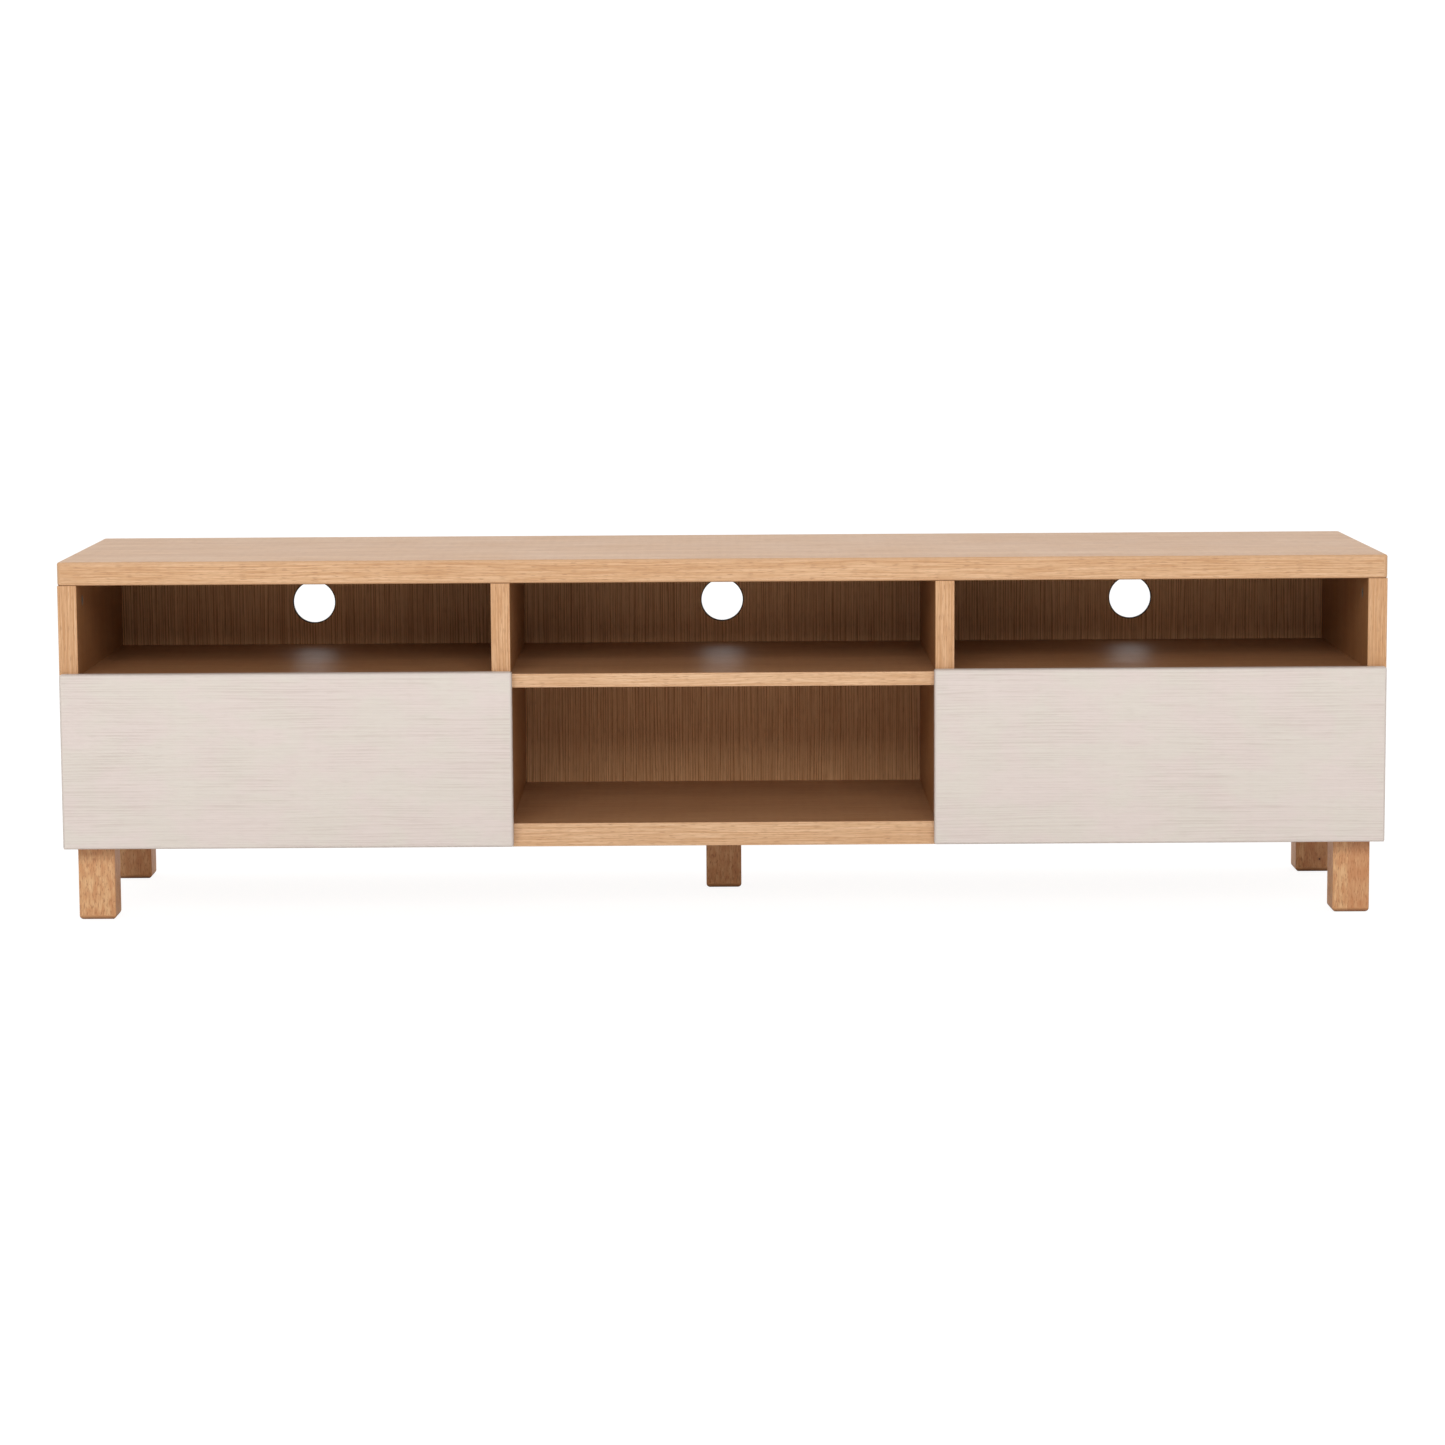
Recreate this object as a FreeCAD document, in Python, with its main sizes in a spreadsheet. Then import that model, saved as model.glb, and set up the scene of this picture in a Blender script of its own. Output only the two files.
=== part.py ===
"""Media cabinet: a low oak carcass with three open bays, one open centre bay and two drawers.

Millimetres. X runs to the right, Y from the drawer fronts to the back, Z up.
The origin is on the floor, in the middle of the footprint.
"""
import FreeCAD, Part
import os
import re
import Sketcher
from FreeCAD import Placement, Rotation, Vector

doc = FreeCAD.newDocument("MediaCabinet")

# ---------------------------------------------------------------- driving dimensions
SIZES = [
    ("width", 1800, "overall width, over the side panels"),
    ("height", 492, "floor to the top surface"),
    ("carcass_depth", 430, "front edge of the boards to their back edge"),
    ("centre_bay", 576, "clear width between the dividers"),
    ("upper_opening", 123, "clear height of the open bays under the top"),
    ("top_thickness", 32, "top board"),
    ("bottom_thickness", 32, "bottom board"),
    ("upright_thickness", 26, "side panels and dividers"),
    ("shelf_thickness", 19, "centre shelf and the two decks over the drawers"),
    ("corner_round", 5, "radius of the top's four plan corners"),
    ("top_round", 3, "radius of the top's arrises"),
    ("board_round", 1, "radius of the front arrises of uprights and shelves"),
    ("back_thickness", 5, "back panels"),
    ("back_inset", 10, "back edge of the carcass to the back panels"),
    ("back_clearance", 1, "shelf and deck stop this far before the back panels"),
    ("groove_depth", 6, "grooves that hold the back panels"),
    ("groove_clearance", 0.2, "play of a back panel in its groove, each side"),
    ("groove_end_play", 0.5, "play of a back panel at the bottom of its groove"),
    ("cable_hole_radius", 30, "round cable hole in each back panel"),
    ("leg_height", 100, "floor to the underside of the carcass"),
    ("leg_width", 50, "square leg"),
    ("leg_side_inset", 17, "outer face of a leg from the end of the carcass"),
    ("leg_end_inset", 15, "front and back legs from the carcass edges"),
    ("centre_leg_setback", 255, "front face of the centre leg from the carcass front"),
    ("leg_foot_round", 6, "radius round a leg's foot"),
    ("leg_round", 1, "radius of a leg's arrises"),
    ("leg_bolt_radius", 4, "hanger bolt, machine thread"),
    ("leg_bolt_core", 3, "hanger bolt, wood thread"),
    ("leg_bolt_grip", 34, "hanger bolt in the leg"),
    ("insert_radius", 6, "threaded insert, outside"),
    ("insert_length", 14, "threaded insert"),
    ("insert_clearance", 0.1, "hanger bolt in its insert"),
    ("leg_dowel_offset", 14, "locating dowel from the middle of its leg"),
    ("fitting_setback", 50, "first fitting from the front of a board"),
    ("fitting_stagger", 32, "side-bay fittings sit this far behind the centre ones"),
    ("dowel_offset", 64, "dowel from its neighbouring fitting"),
    ("cam_radius", 7.5, "cam lock bore"),
    ("cam_depth", 14, "cam lock bore"),
    ("cam_axis", 9.5, "bolt axis under the face that the cam is bored in"),
    ("cam_edge", 24, "middle of a cam from the joint"),
    ("cam_play", 0.2, "cam in its bore"),
    ("cam_slot_play", 0.4, "bolt in the slot of its cam"),
    ("cross_length", 9, "screwdriver cross in the face of a cam"),
    ("cross_width", 1.4, "screwdriver cross"),
    ("cross_depth", 2.4, "screwdriver cross"),
    ("bolt_head_length", 3, "head of a cam bolt"),
    ("bolt_neck_length", 4, "neck that the cam grips"),
    ("bolt_neck_radius", 1.8, "neck that the cam grips"),
    ("bolt_thread", 11, "cam bolt screwed into the neighbouring board"),
    ("bolt_thread_radius", 2.8, "cam bolt, screwed end"),
    ("bolt_radius", 3.3, "cam bolt, shank"),
    ("bore_play", 0.1, "screws, bolts and dowels in their bores"),
    ("bore_end_play", 0.5, "depth left over at the end of a bore"),
    ("dowel_radius", 4, "wooden dowel"),
    ("dowel_shallow", 10, "dowel in the face of a board"),
    ("dowel_deep", 20, "dowel in the end of a board"),
    ("divider_screw_radius", 3.2, "screw up through the bottom board"),
    ("divider_screw_head", 5, "head radius"),
    ("divider_screw_sink", 4, "head height"),
    ("divider_screw_grip", 28, "screw in the divider"),
    ("small_screw_radius", 1.5, "rail and latch screws"),
    ("small_screw_head", 3, "head radius of the rail and latch screws"),
    ("small_screw_sink", 1, "head height of the rail and latch screws"),
    ("small_screw_grip", 12, "rail and latch screws in the board"),
    ("front_thickness", 18, "drawer front"),
    ("front_gap", 2, "closed drawer front to the carcass"),
    ("front_rise", 4, "drawer front above the deck"),
    ("front_drop", 2.5, "drawer front above the underside of the carcass"),
    ("front_reveal", 2.5, "drawer front short of the end of the carcass"),
    ("front_overhang", 2, "drawer front past the divider, into the centre bay"),
    ("front_round", 2.8, "radius of the drawer front's arrises"),
    ("box_board", 15, "drawer box sides, front and back"),
    ("box_floor", 6, "drawer box bottom"),
    ("box_floor_rise", 12, "bottom edge of the box to its floor"),
    ("box_floor_housing", 5, "drawer floor in the box boards"),
    ("box_floor_play", 0.3, "drawer floor in its grooves"),
    ("box_below", 12, "clearance under the drawer box"),
    ("latch_clearance", 8, "clearance over the drawer box, under the latch"),
    ("rail_gap", 12.7, "room for one rail beside the drawer box"),
    ("rail_height", 45, "cabinet member of a rail"),
    ("rail_reach", 9.5, "cabinet member, out from the board"),
    ("rail_sheet", 1.2, "sheet of the rails"),
    ("ball_gap", 3.4, "ball race between two members"),
    ("middle_offset", 3.2, "middle member from the board"),
    ("drawer_rail_reach", 6.7, "drawer member, out from the drawer box"),
    ("rail_setback", 2, "front end of the rails behind the carcass front"),
    ("rail_end_room", 12, "rail to the back panel"),
    ("rail_rise", 50, "middle of the rails above the drawer box's lower edge"),
    ("rail_screw_end", 35, "cabinet rail screw from the end of the rail"),
    ("drawer_screw_end", 70, "drawer rail screw from the end of the rail"),
    ("box_screw_radius", 2, "drawer box and drawer front screws"),
    ("box_screw_head", 4, "head radius of the drawer box screws"),
    ("box_screw_sink", 2, "head height of the drawer box screws"),
    ("box_screw_grip", 28, "drawer box screw in the neighbouring board"),
    ("box_screw_edge", 26, "drawer box screw from the edge of its board"),
    ("front_screw_grip", 10, "drawer front screw in the drawer front"),
    ("front_screw_inset", 60, "drawer front screw from the end of the box front"),
    ("latch_length", 72, "push latch housing"),
    ("latch_width", 18, "push latch housing"),
    ("latch_height", 16, "push latch housing, with its flange"),
    ("latch_flange", 2, "flange of the push latch housing"),
    ("latch_flange_width", 42, "flange of the push latch housing"),
    ("latch_setback", 4, "push latch housing behind the carcass front"),
    ("latch_bore", 5, "bore of the housing"),
    ("latch_bore_depth", 46, "bore of the housing"),
    ("plunger_play", 0.3, "plunger in its bore"),
    ("plunger_length", 44, "plunger, tip to tail"),
    ("plunger_gap", 0.2, "plunger tip to the closed drawer front"),
    ("plunger_tip", 2, "soft tip of the plunger"),
    ("plunger_tip_radius", 3.6, "soft tip of the plunger"),
    ("latch_screw_edge", 6, "latch screw from the side of the flange"),
]

sheet = doc.addObject("Spreadsheet::Sheet", "Sizes")
for row, (alias, value, note) in enumerate(SIZES, start=1):
    sheet.set(f"A{row}", alias)
    sheet.set(f"B{row}", str(value))
    sheet.setAlias(f"B{row}", alias)
    sheet.set(f"C{row}", note)
doc.recompute()

# Places and lengths that follow from the driving dimensions. Those that end in _y are
# counted from the front of the carcass, backwards; the others are in the part's own frame.
PLACES = {
    "carcass_front": "(front_gap + front_thickness - carcass_depth) / 2",
    "carcass_top": "height - top_thickness",
    "upright_height": "carcass_top - leg_height",
    "bottom_top": "leg_height + bottom_thickness",
    "divider_height": "carcass_top - bottom_top",
    "shelf_top": "carcass_top - upper_opening",
    "shelf_underside": "shelf_top - shelf_thickness",
    "side_inner": "width / 2 - upright_thickness",
    "divider_inner": "centre_bay / 2",
    "divider_outer": "centre_bay / 2 + upright_thickness",
    "side_bay": "side_inner - divider_outer",
    "back_y": "carcass_depth - back_inset - back_thickness",
    "shelf_depth": "back_y - back_clearance",
    "groove_y": "back_y - groove_clearance",
    "groove_width": "back_thickness + 2 * groove_clearance",
    "back_housing": "groove_depth - groove_end_play",
    "rear_fitting_y": "back_y - fitting_setback",
    "bottom_fitting_y": "leg_end_inset + leg_width + fitting_setback",
    "leg_middle": "width / 2 - leg_side_inset - leg_width / 2",
    "front_leg_y": "leg_end_inset + leg_width / 2",
    "rear_leg_y": "carcass_depth - leg_end_inset - leg_width / 2",
    "centre_leg_y": "centre_leg_setback + leg_width / 2",
    "rail_length": "back_y - rail_setback - rail_end_room",
    "rail_middle": "bottom_top + box_below + rail_rise",
    "middle_height": "rail_height - 2 * rail_sheet - 2 * ball_gap",
    "drawer_rail_height": "middle_height - 2 * rail_sheet - 2 * ball_gap",
    "box_width": "side_bay - 2 * rail_gap",
    "box_length": "front_gap + rail_setback + rail_length",
    "box_bottom": "bottom_top + box_below",
    "box_height": "shelf_underside - latch_height - latch_clearance - box_bottom",
    "box_inner_width": "box_width - 2 * box_board",
    "drawer_front_width": "width / 2 - front_reveal - divider_inner + front_overhang",
    "drawer_front_height": "shelf_top + front_rise - leg_height - front_drop",
    "latch_middle": "divider_outer + side_bay / 2",
}
ALIASES = {alias for alias, value, note in SIZES}


def formula(text):
    """A length in words, spelled out as a formula over the cells of the sheet."""
    def spell(match):
        word = match.group(0)
        if word in PLACES:
            return "(" + formula(PLACES[word]) + ")"
        return "Sizes." + word if word in ALIASES else word
    return re.sub(r"[a-z_]+", spell, str(text))


def bind(obj, prop, text):
    obj.setExpression(prop, formula(text))


# ---------------------------------------------------------------- boards, as PartDesign bodies
nodes = []
cuts = []
FLAT = 0.001        # an edge lies in a face when it leaves it by less than this
MOSTLY = 0.9        # an edge is upright when its height is more than this share of its length
ORIGIN = (-1, 1)    # the origin, as a sketch constraint names it


def origin_plane(body, role):
    return next(plane for plane in body.Origin.OriginFeatures if plane.Role == role)


def sketch_on(body, name, role, offset="0"):
    sketch = body.newObject("Sketcher::SketchObject", name)
    sketch.AttachmentSupport = [(origin_plane(body, role), "")]
    sketch.MapMode = "FlatFace"
    bind(sketch, "AttachmentOffset.Base.z", offset)
    return sketch


def dimension(sketch, text, *constraint):
    number = sketch.addConstraint(Sketcher.Constraint(*constraint))
    bind(sketch, f"Constraints[{number}]", text)


def rectangle(sketch, low, size):
    """A rectangle with its low corner at `low`, both given as pairs of formulas.

    It is drawn as a square of any size beside the origin, and its constraints give its size.
    """
    side = 10
    corners = [Vector(side * x, side * y, 0) for x, y in ((1, 1), (2, 1), (2, 2), (1, 2))]
    for corner in range(4):
        sketch.addGeometry(Part.LineSegment(corners[corner], corners[(corner + 1) % 4]), False)
    for corner in range(4):
        sketch.addConstraint(Sketcher.Constraint("Coincident", corner, 2, (corner + 1) % 4, 1))
    for line, kind in enumerate(("Horizontal", "Vertical", "Horizontal", "Vertical")):
        sketch.addConstraint(Sketcher.Constraint(kind, line))
    dimension(sketch, low[0], "DistanceX", *ORIGIN, 0, 1, side)
    dimension(sketch, low[1], "DistanceY", *ORIGIN, 0, 1, side)
    dimension(sketch, size[0], "DistanceX", 0, 1, 0, 2, side)
    dimension(sketch, size[1], "DistanceY", 1, 1, 1, 2, side)


def circles(sketch, centres, radius):
    """Circles at `centres`, drawn apart from each other in a row and then dimensioned."""
    middle = 3      # the centre of a circle, as a sketch constraint names it
    drawn_radius = 3
    apart = 20
    for count, (across, along) in enumerate(centres, start=1):
        centre = Vector(apart * count, apart, 0)
        ring = sketch.addGeometry(Part.Circle(centre, Vector(0, 0, 1), drawn_radius))
        dimension(sketch, across, "DistanceX", *ORIGIN, ring, middle, centre.x)
        dimension(sketch, along, "DistanceY", *ORIGIN, ring, middle, centre.y)
        dimension(sketch, radius, "Radius", ring, drawn_radius)


def pocket(body, sketch, depth, along_normal):
    cut = body.newObject("PartDesign::Pocket", sketch.Name + "_cut")
    cut.Profile = sketch
    cut.Reversed = along_normal
    bind(cut, "Length", depth)
    cuts.append(cut)


def bores(body, name, face, centres, radius, depth):
    """Round bores into one face. `face` is (plane, offset, True to bore along its normal)."""
    role, offset, along_normal = face
    sketch = sketch_on(body, f"{body.Label}_{name}_bores", role, offset)
    circles(sketch, centres, radius)
    pocket(body, sketch, depth, along_normal)


def groove(body, name, face, low, size, depth):
    role, offset, along_normal = face
    sketch = sketch_on(body, f"{body.Label}_{name}", role, offset)
    rectangle(sketch, low, size)
    pocket(body, sketch, depth, along_normal)


def board(label, corner, size):
    """A board with its low corner at `corner`; its own frame starts at that corner."""
    body = doc.addObject("PartDesign::Body", label)
    body.Label = label
    for axis, text in zip("xyz", corner):
        bind(body, f"Placement.Base.{axis}", text)
    plan = sketch_on(body, label + "_plan", "XY_Plane")
    rectangle(plan, ("0", "0"), size[:2])
    pad = body.newObject("PartDesign::Pad", label + "_pad")
    pad.Profile = plan
    bind(pad, "Length", size[2])
    nodes.append(body)
    return body


def edge_names(shape, wanted):
    return [f"Edge{number}" for number, edge in enumerate(shape.Edges, start=1) if wanted(edge)]


def soften(body, name, wanted, radius):
    """Round the edges of the body so far that `wanted` picks."""
    doc.recompute()
    base = body.Tip
    fillet = body.newObject("PartDesign::Fillet", f"{body.Label}_{name}")
    fillet.Base = (base, edge_names(base.Shape, wanted))
    bind(fillet, "Radius", radius)


def on_front(edge):
    return edge.BoundBox.YMax < FLAT


def is_upright(edge):
    return edge.BoundBox.ZLength > MOSTLY * edge.Length


def round_front_arrises(body, upright):
    """Take the sharpness off the two long front edges of an upright or a shelf."""
    soften(body, "arrises", lambda edge: on_front(edge) and is_upright(edge) == upright,
           "board_round")


# Faces to bore into: the plane of the sketch, its offset, and whether to cut along its normal.
UP = ("XY_Plane", "0", True)
RIGHTWARD = ("YZ_Plane", "0", True)
BACKWARD = ("XZ_Plane", "0", False)


def down_from(height):
    return ("XY_Plane", height, False)


def leftward_from(width):
    return ("YZ_Plane", width, False)


def forward_from(depth):
    return ("XZ_Plane", f"-({depth})", True)


# Fittings along the depth of the boards, from the front of the carcass.
BOLT_Y = ("fitting_setback", "rear_fitting_y")
DOWEL_Y = ("fitting_setback + dowel_offset", "rear_fitting_y - dowel_offset")
DECK_BOLT_Y = ("fitting_setback + fitting_stagger", "rear_fitting_y - fitting_stagger")
DECK_DOWEL_Y = ("fitting_setback + fitting_stagger + dowel_offset",
                "rear_fitting_y - fitting_stagger - dowel_offset")
BOTTOM_BOLT_Y = ("bottom_fitting_y", "carcass_depth - bottom_fitting_y")
BOTTOM_DOWEL_Y = ("bottom_fitting_y + fitting_stagger",
                  "carcass_depth - bottom_fitting_y - fitting_stagger")


# ---------------------------------------------------------------- carcass
def in_bay(bay_side):
    """The face of an upright towards the bay on its right (+1) or on its left (-1)."""
    return leftward_from("upright_thickness") if bay_side > 0 else RIGHTWARD


def fit_bay_face(body, tag, base, tall, bay_side, bolt_y, dowel_y):
    """Groove for the back panel, and the bolts and dowels that carry a shelf or a deck."""
    face = in_bay(bay_side)
    groove(body, tag + "_groove", face, ("groove_y", "0"), ("groove_width", tall),
           "groove_depth")
    bores(body, tag + "_bolts", face, [(y, f"shelf_underside + cam_axis - {base}") for y in bolt_y],
          "bolt_thread_radius + bore_play", "bolt_thread + bore_end_play")
    bores(body, tag + "_dowels", face,
          [(y, f"shelf_underside + shelf_thickness / 2 - {base}") for y in dowel_y],
          "dowel_radius + bore_play", "dowel_shallow + bore_end_play")


def fit_top_joint(body, base, tall, cam_side):
    """Cams in the face towards `cam_side`, with bolts and dowels up into the top."""
    bores(body, "cams", in_bay(cam_side),
          [(y, f"carcass_top - cam_edge - {base}") for y in BOLT_Y], "cam_radius", "cam_depth")
    bolt_x = "upright_thickness - cam_axis" if cam_side > 0 else "cam_axis"
    bores(body, "top_bolts", down_from(tall), [(bolt_x, y) for y in BOLT_Y],
          "bolt_radius + bore_play", "cam_edge")
    bores(body, "top_dowels", down_from(tall), [("upright_thickness / 2", y) for y in DOWEL_Y],
          "dowel_radius + bore_play", "dowel_deep + bore_end_play")


RAIL_SCREW_Y = ("rail_setback + rail_screw_end",
                "rail_setback + rail_length / 2",
                "rail_setback + rail_length - rail_screw_end")


def fit_rail_screws(body, base, bay_side):
    bores(body, "rail_screws", in_bay(bay_side),
          [(y, f"rail_middle - {base}") for y in RAIL_SCREW_Y],
          "small_screw_radius + bore_play", "small_screw_grip + bore_end_play")


def side_panel(label, side):
    """Side panel at the left (-1) or right (+1) end; its only bay is on its inner side."""
    x_low = "side_inner" if side > 0 else "-width / 2"
    body = board(label, (x_low, "carcass_front", "leg_height"),
                 ("upright_thickness", "carcass_depth", "upright_height"))
    round_front_arrises(body, True)
    fit_bay_face(body, "deck", "leg_height", "upright_height", -side, DECK_BOLT_Y, DECK_DOWEL_Y)
    fit_top_joint(body, "leg_height", "upright_height", -side)
    fit_rail_screws(body, "leg_height", -side)
    bores(body, "bottom_bolts", in_bay(-side), [(y, "cam_axis") for y in BOTTOM_BOLT_Y],
          "bolt_thread_radius + bore_play", "bolt_thread + bore_end_play")
    bores(body, "bottom_dowels", in_bay(-side),
          [(y, "bottom_thickness / 2") for y in BOTTOM_DOWEL_Y],
          "dowel_radius + bore_play", "dowel_shallow + bore_end_play")


def divider(label, side):
    """Divider left (-1) or right (+1) of the centre bay, with a drawer bay on its outer side."""
    x_low = "divider_inner" if side > 0 else "-divider_outer"
    body = board(label, (x_low, "carcass_front", "bottom_top"),
                 ("upright_thickness", "carcass_depth", "divider_height"))
    round_front_arrises(body, True)
    fit_bay_face(body, "shelf", "bottom_top", "divider_height", -side, BOLT_Y, DOWEL_Y)
    fit_bay_face(body, "deck", "bottom_top", "divider_height", side, DECK_BOLT_Y, DECK_DOWEL_Y)
    fit_top_joint(body, "bottom_top", "divider_height", side)
    fit_rail_screws(body, "bottom_top", side)
    bores(body, "bottom_screws", UP, [("upright_thickness / 2", y) for y in BOLT_Y],
          "divider_screw_radius + bore_play", "divider_screw_grip + bore_end_play")
    bores(body, "bottom_dowels", UP, [("upright_thickness / 2", y) for y in DOWEL_Y],
          "dowel_radius + bore_play", "dowel_deep + bore_end_play")


def fit_end_joints(body, long, thick, bolt_y, dowel_y):
    """Cams in the underside near both ends, with bolt and dowel bores in the ends."""
    near_ends = ("cam_edge", f"{long} - cam_edge")
    bores(body, "cams", UP, [(x, y) for x in near_ends for y in bolt_y], "cam_radius", "cam_depth")
    for tag, face in (("left", RIGHTWARD), ("right", leftward_from(long))):
        bores(body, tag + "_bolts", face, [(y, "cam_axis") for y in bolt_y],
              "bolt_radius + bore_play", "cam_edge")
        bores(body, tag + "_dowels", face, [(y, f"{thick} / 2") for y in dowel_y],
              "dowel_radius + bore_play", "dowel_deep + bore_end_play")


LEGS = [("front_left_leg", -1, "front_leg_y"), ("front_right_leg", 1, "front_leg_y"),
        ("rear_left_leg", -1, "rear_leg_y"), ("rear_right_leg", 1, "rear_leg_y"),
        ("centre_leg", 0, "centre_leg_y")]


def leg_x(side):
    return f"{side} * leg_middle"


def leg_dowel_x(side):
    """The locating dowel stands on the inner side of its leg's bolt."""
    return f"{side} * leg_middle - {side or 1} * leg_dowel_offset"


def bottom_board():
    body = board("bottom_panel", ("-side_inner", "carcass_front", "leg_height"),
                 ("2 * side_inner", "carcass_depth", "bottom_thickness"))
    round_front_arrises(body, False)
    top_face = down_from("bottom_thickness")
    groove(body, "back_groove", top_face, ("0", "groove_y"), ("2 * side_inner", "groove_width"),
           "groove_depth")
    fit_end_joints(body, "2 * side_inner", "bottom_thickness", BOTTOM_BOLT_Y, BOTTOM_DOWEL_Y)
    middles = [f"side_inner + {side} * (divider_inner + upright_thickness / 2)" for side in (-1, 1)]
    under_dividers = [(x, y) for x in middles for y in BOLT_Y]
    bores(body, "screw_heads", UP, under_dividers, "divider_screw_head + bore_play",
          "divider_screw_sink")
    bores(body, "screws", UP, under_dividers, "divider_screw_radius + bore_play",
          "bottom_thickness")
    bores(body, "divider_dowels", top_face, [(x, y) for x in middles for y in DOWEL_Y],
          "dowel_radius + bore_play", "dowel_shallow + bore_end_play")
    bores(body, "inserts", UP, [(f"side_inner + {leg_x(side)}", y) for label, side, y in LEGS],
          "insert_radius + bore_play", "insert_length + bore_end_play")
    bores(body, "leg_dowels", UP,
          [(f"side_inner + {leg_dowel_x(side)}", y) for label, side, y in LEGS],
          "dowel_radius + bore_play", "dowel_shallow + bore_end_play")


def top_board():
    body = board("top_panel", ("-width / 2", "carcass_front", "carcass_top"),
                 ("width", "carcass_depth", "top_thickness"))
    soften(body, "corners", is_upright, "corner_round")
    soften(body, "arrises", lambda edge: edge.BoundBox.ZLength < FLAT, "top_round")
    groove(body, "back_groove", UP, ("upright_thickness - groove_depth", "groove_y"),
           ("2 * (side_inner + groove_depth)", "groove_width"), "groove_depth")
    bolts = [f"width / 2 + {side} * ({x})" for side in (-1, 1)
             for x in ("side_inner + cam_axis", "divider_outer - cam_axis")]
    dowels = [f"width / 2 + {side} * ({x} + upright_thickness / 2)" for side in (-1, 1)
              for x in ("side_inner", "divider_inner")]
    bores(body, "bolts", UP, [(x, y) for x in bolts for y in BOLT_Y],
          "bolt_thread_radius + bore_play", "bolt_thread + bore_end_play")
    bores(body, "dowels", UP, [(x, y) for x in dowels for y in DOWEL_Y],
          "dowel_radius + bore_play", "dowel_shallow + bore_end_play")


def shelf(label, x_low, long, bolt_y, dowel_y):
    body = board(label, (x_low, "carcass_front", "shelf_underside"),
                 (long, "shelf_depth", "shelf_thickness"))
    round_front_arrises(body, False)
    fit_end_joints(body, long, "shelf_thickness", bolt_y, dowel_y)
    return body


LATCH_SCREW_X = ("latch_screw_edge - latch_flange_width / 2",
                 "latch_flange_width / 2 - latch_screw_edge")
LATCH_SCREW_Y = "latch_setback + latch_length / 2"


def deck(label, x_low):
    """The floor of a side bay and the ceiling of its drawer, with the latch screwed under it."""
    body = shelf(label, x_low, "side_bay", DECK_BOLT_Y, DECK_DOWEL_Y)
    bores(body, "latch_screws", UP, [(f"side_bay / 2 + {x}", LATCH_SCREW_Y) for x in LATCH_SCREW_X],
          "small_screw_radius + bore_play", "small_screw_grip + bore_end_play")


def back_panel(label, x_low, bay):
    body = board(label, (f"{x_low} - back_housing", "carcass_front + back_y",
                         "bottom_top - back_housing"),
                 (f"{bay} + 2 * back_housing", "back_thickness", "divider_height + 2 * back_housing"))
    hole = (f"{bay} / 2 + back_housing", "carcass_top - upper_opening / 2 - bottom_top + back_housing")
    bores(body, "cable_hole", BACKWARD, [hole], "cable_hole_radius", "back_thickness")


def leg(label, side, y):
    body = board(label, (f"{leg_x(side)} - leg_width / 2", f"carcass_front + {y} - leg_width / 2", "0"),
                 ("leg_width", "leg_width", "leg_height"))
    soften(body, "foot", lambda edge: edge.BoundBox.ZMax < FLAT, "leg_foot_round")
    soften(body, "arrises", lambda edge: edge.BoundBox.ZLength > FLAT, "leg_round")
    bores(body, "bolt", down_from("leg_height"), [("leg_width / 2", "leg_width / 2")],
          "leg_bolt_core + bore_play", "leg_bolt_grip + bore_end_play")
    dowel_x = f"leg_width / 2 - {side or 1} * leg_dowel_offset"
    bores(body, "dowel", down_from("leg_height"), [(dowel_x, "leg_width / 2")],
          "dowel_radius + bore_play", "dowel_deep + bore_end_play")


top_board()
side_panel("left_side_panel", -1)
side_panel("right_side_panel", 1)
divider("left_divider", -1)
divider("right_divider", 1)
bottom_board()
shelf("centre_shelf", "-divider_inner", "centre_bay", BOLT_Y, DOWEL_Y)
deck("left_deck", "-side_inner")
deck("right_deck", "divider_outer")
back_panel("left_back_panel", "-side_inner", "side_bay")
back_panel("centre_back_panel", "-divider_inner", "centre_bay")
back_panel("right_back_panel", "divider_outer", "side_bay")
for leg_label, leg_side, leg_y in LEGS:
    leg(leg_label, leg_side, leg_y)


# ---------------------------------------------------------------- drawers
def mirrored(side, low, size):
    """Low edge of a piece whose low edge is at `low` in the right-hand half."""
    return low if side > 0 else f"-({low}) - ({size})"


BOX_SCREW_Z = ("box_screw_edge", "box_height - box_screw_edge")
FRONT_SCREW_Z = ("box_height / 3", "2 * box_height / 3")
FRONT_SCREW_X = ("front_screw_inset", "box_inner_width - front_screw_inset")
BOX_SCREW_Y = ("box_board / 2", "box_length - box_board / 2")
DRAWER_SCREW_Y = ("rail_setback + drawer_screw_end",
                  "rail_setback + rail_length - drawer_screw_end")
BOX_Y = "carcass_front - front_gap"
BOX_X = "divider_outer + rail_gap + box_board"


def drawer_front(label, side):
    low = "divider_inner - front_overhang"
    body = board(label, (mirrored(side, low, "drawer_front_width"),
                         "carcass_front - front_gap - front_thickness", "leg_height + front_drop"),
                 ("drawer_front_width", "front_thickness", "drawer_front_height"))
    soften(body, "arrises", lambda edge: True, "front_round")
    start = f"{mirrored(side, BOX_X, 'box_inner_width')} - ({mirrored(side, low, 'drawer_front_width')})"
    bores(body, "screws", forward_from("front_thickness"),
          [(f"{start} + {x}", f"box_bottom - leg_height - front_drop + {z}")
           for x in FRONT_SCREW_X for z in FRONT_SCREW_Z],
          "box_screw_radius + bore_play", "front_screw_grip + bore_end_play")


def floor_groove(body, face, long):
    groove(body, "floor_groove", face, ("0", "box_floor_rise - box_floor_play"),
           (long, "box_floor + 2 * box_floor_play"), "box_floor_housing + box_floor_play")


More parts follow.
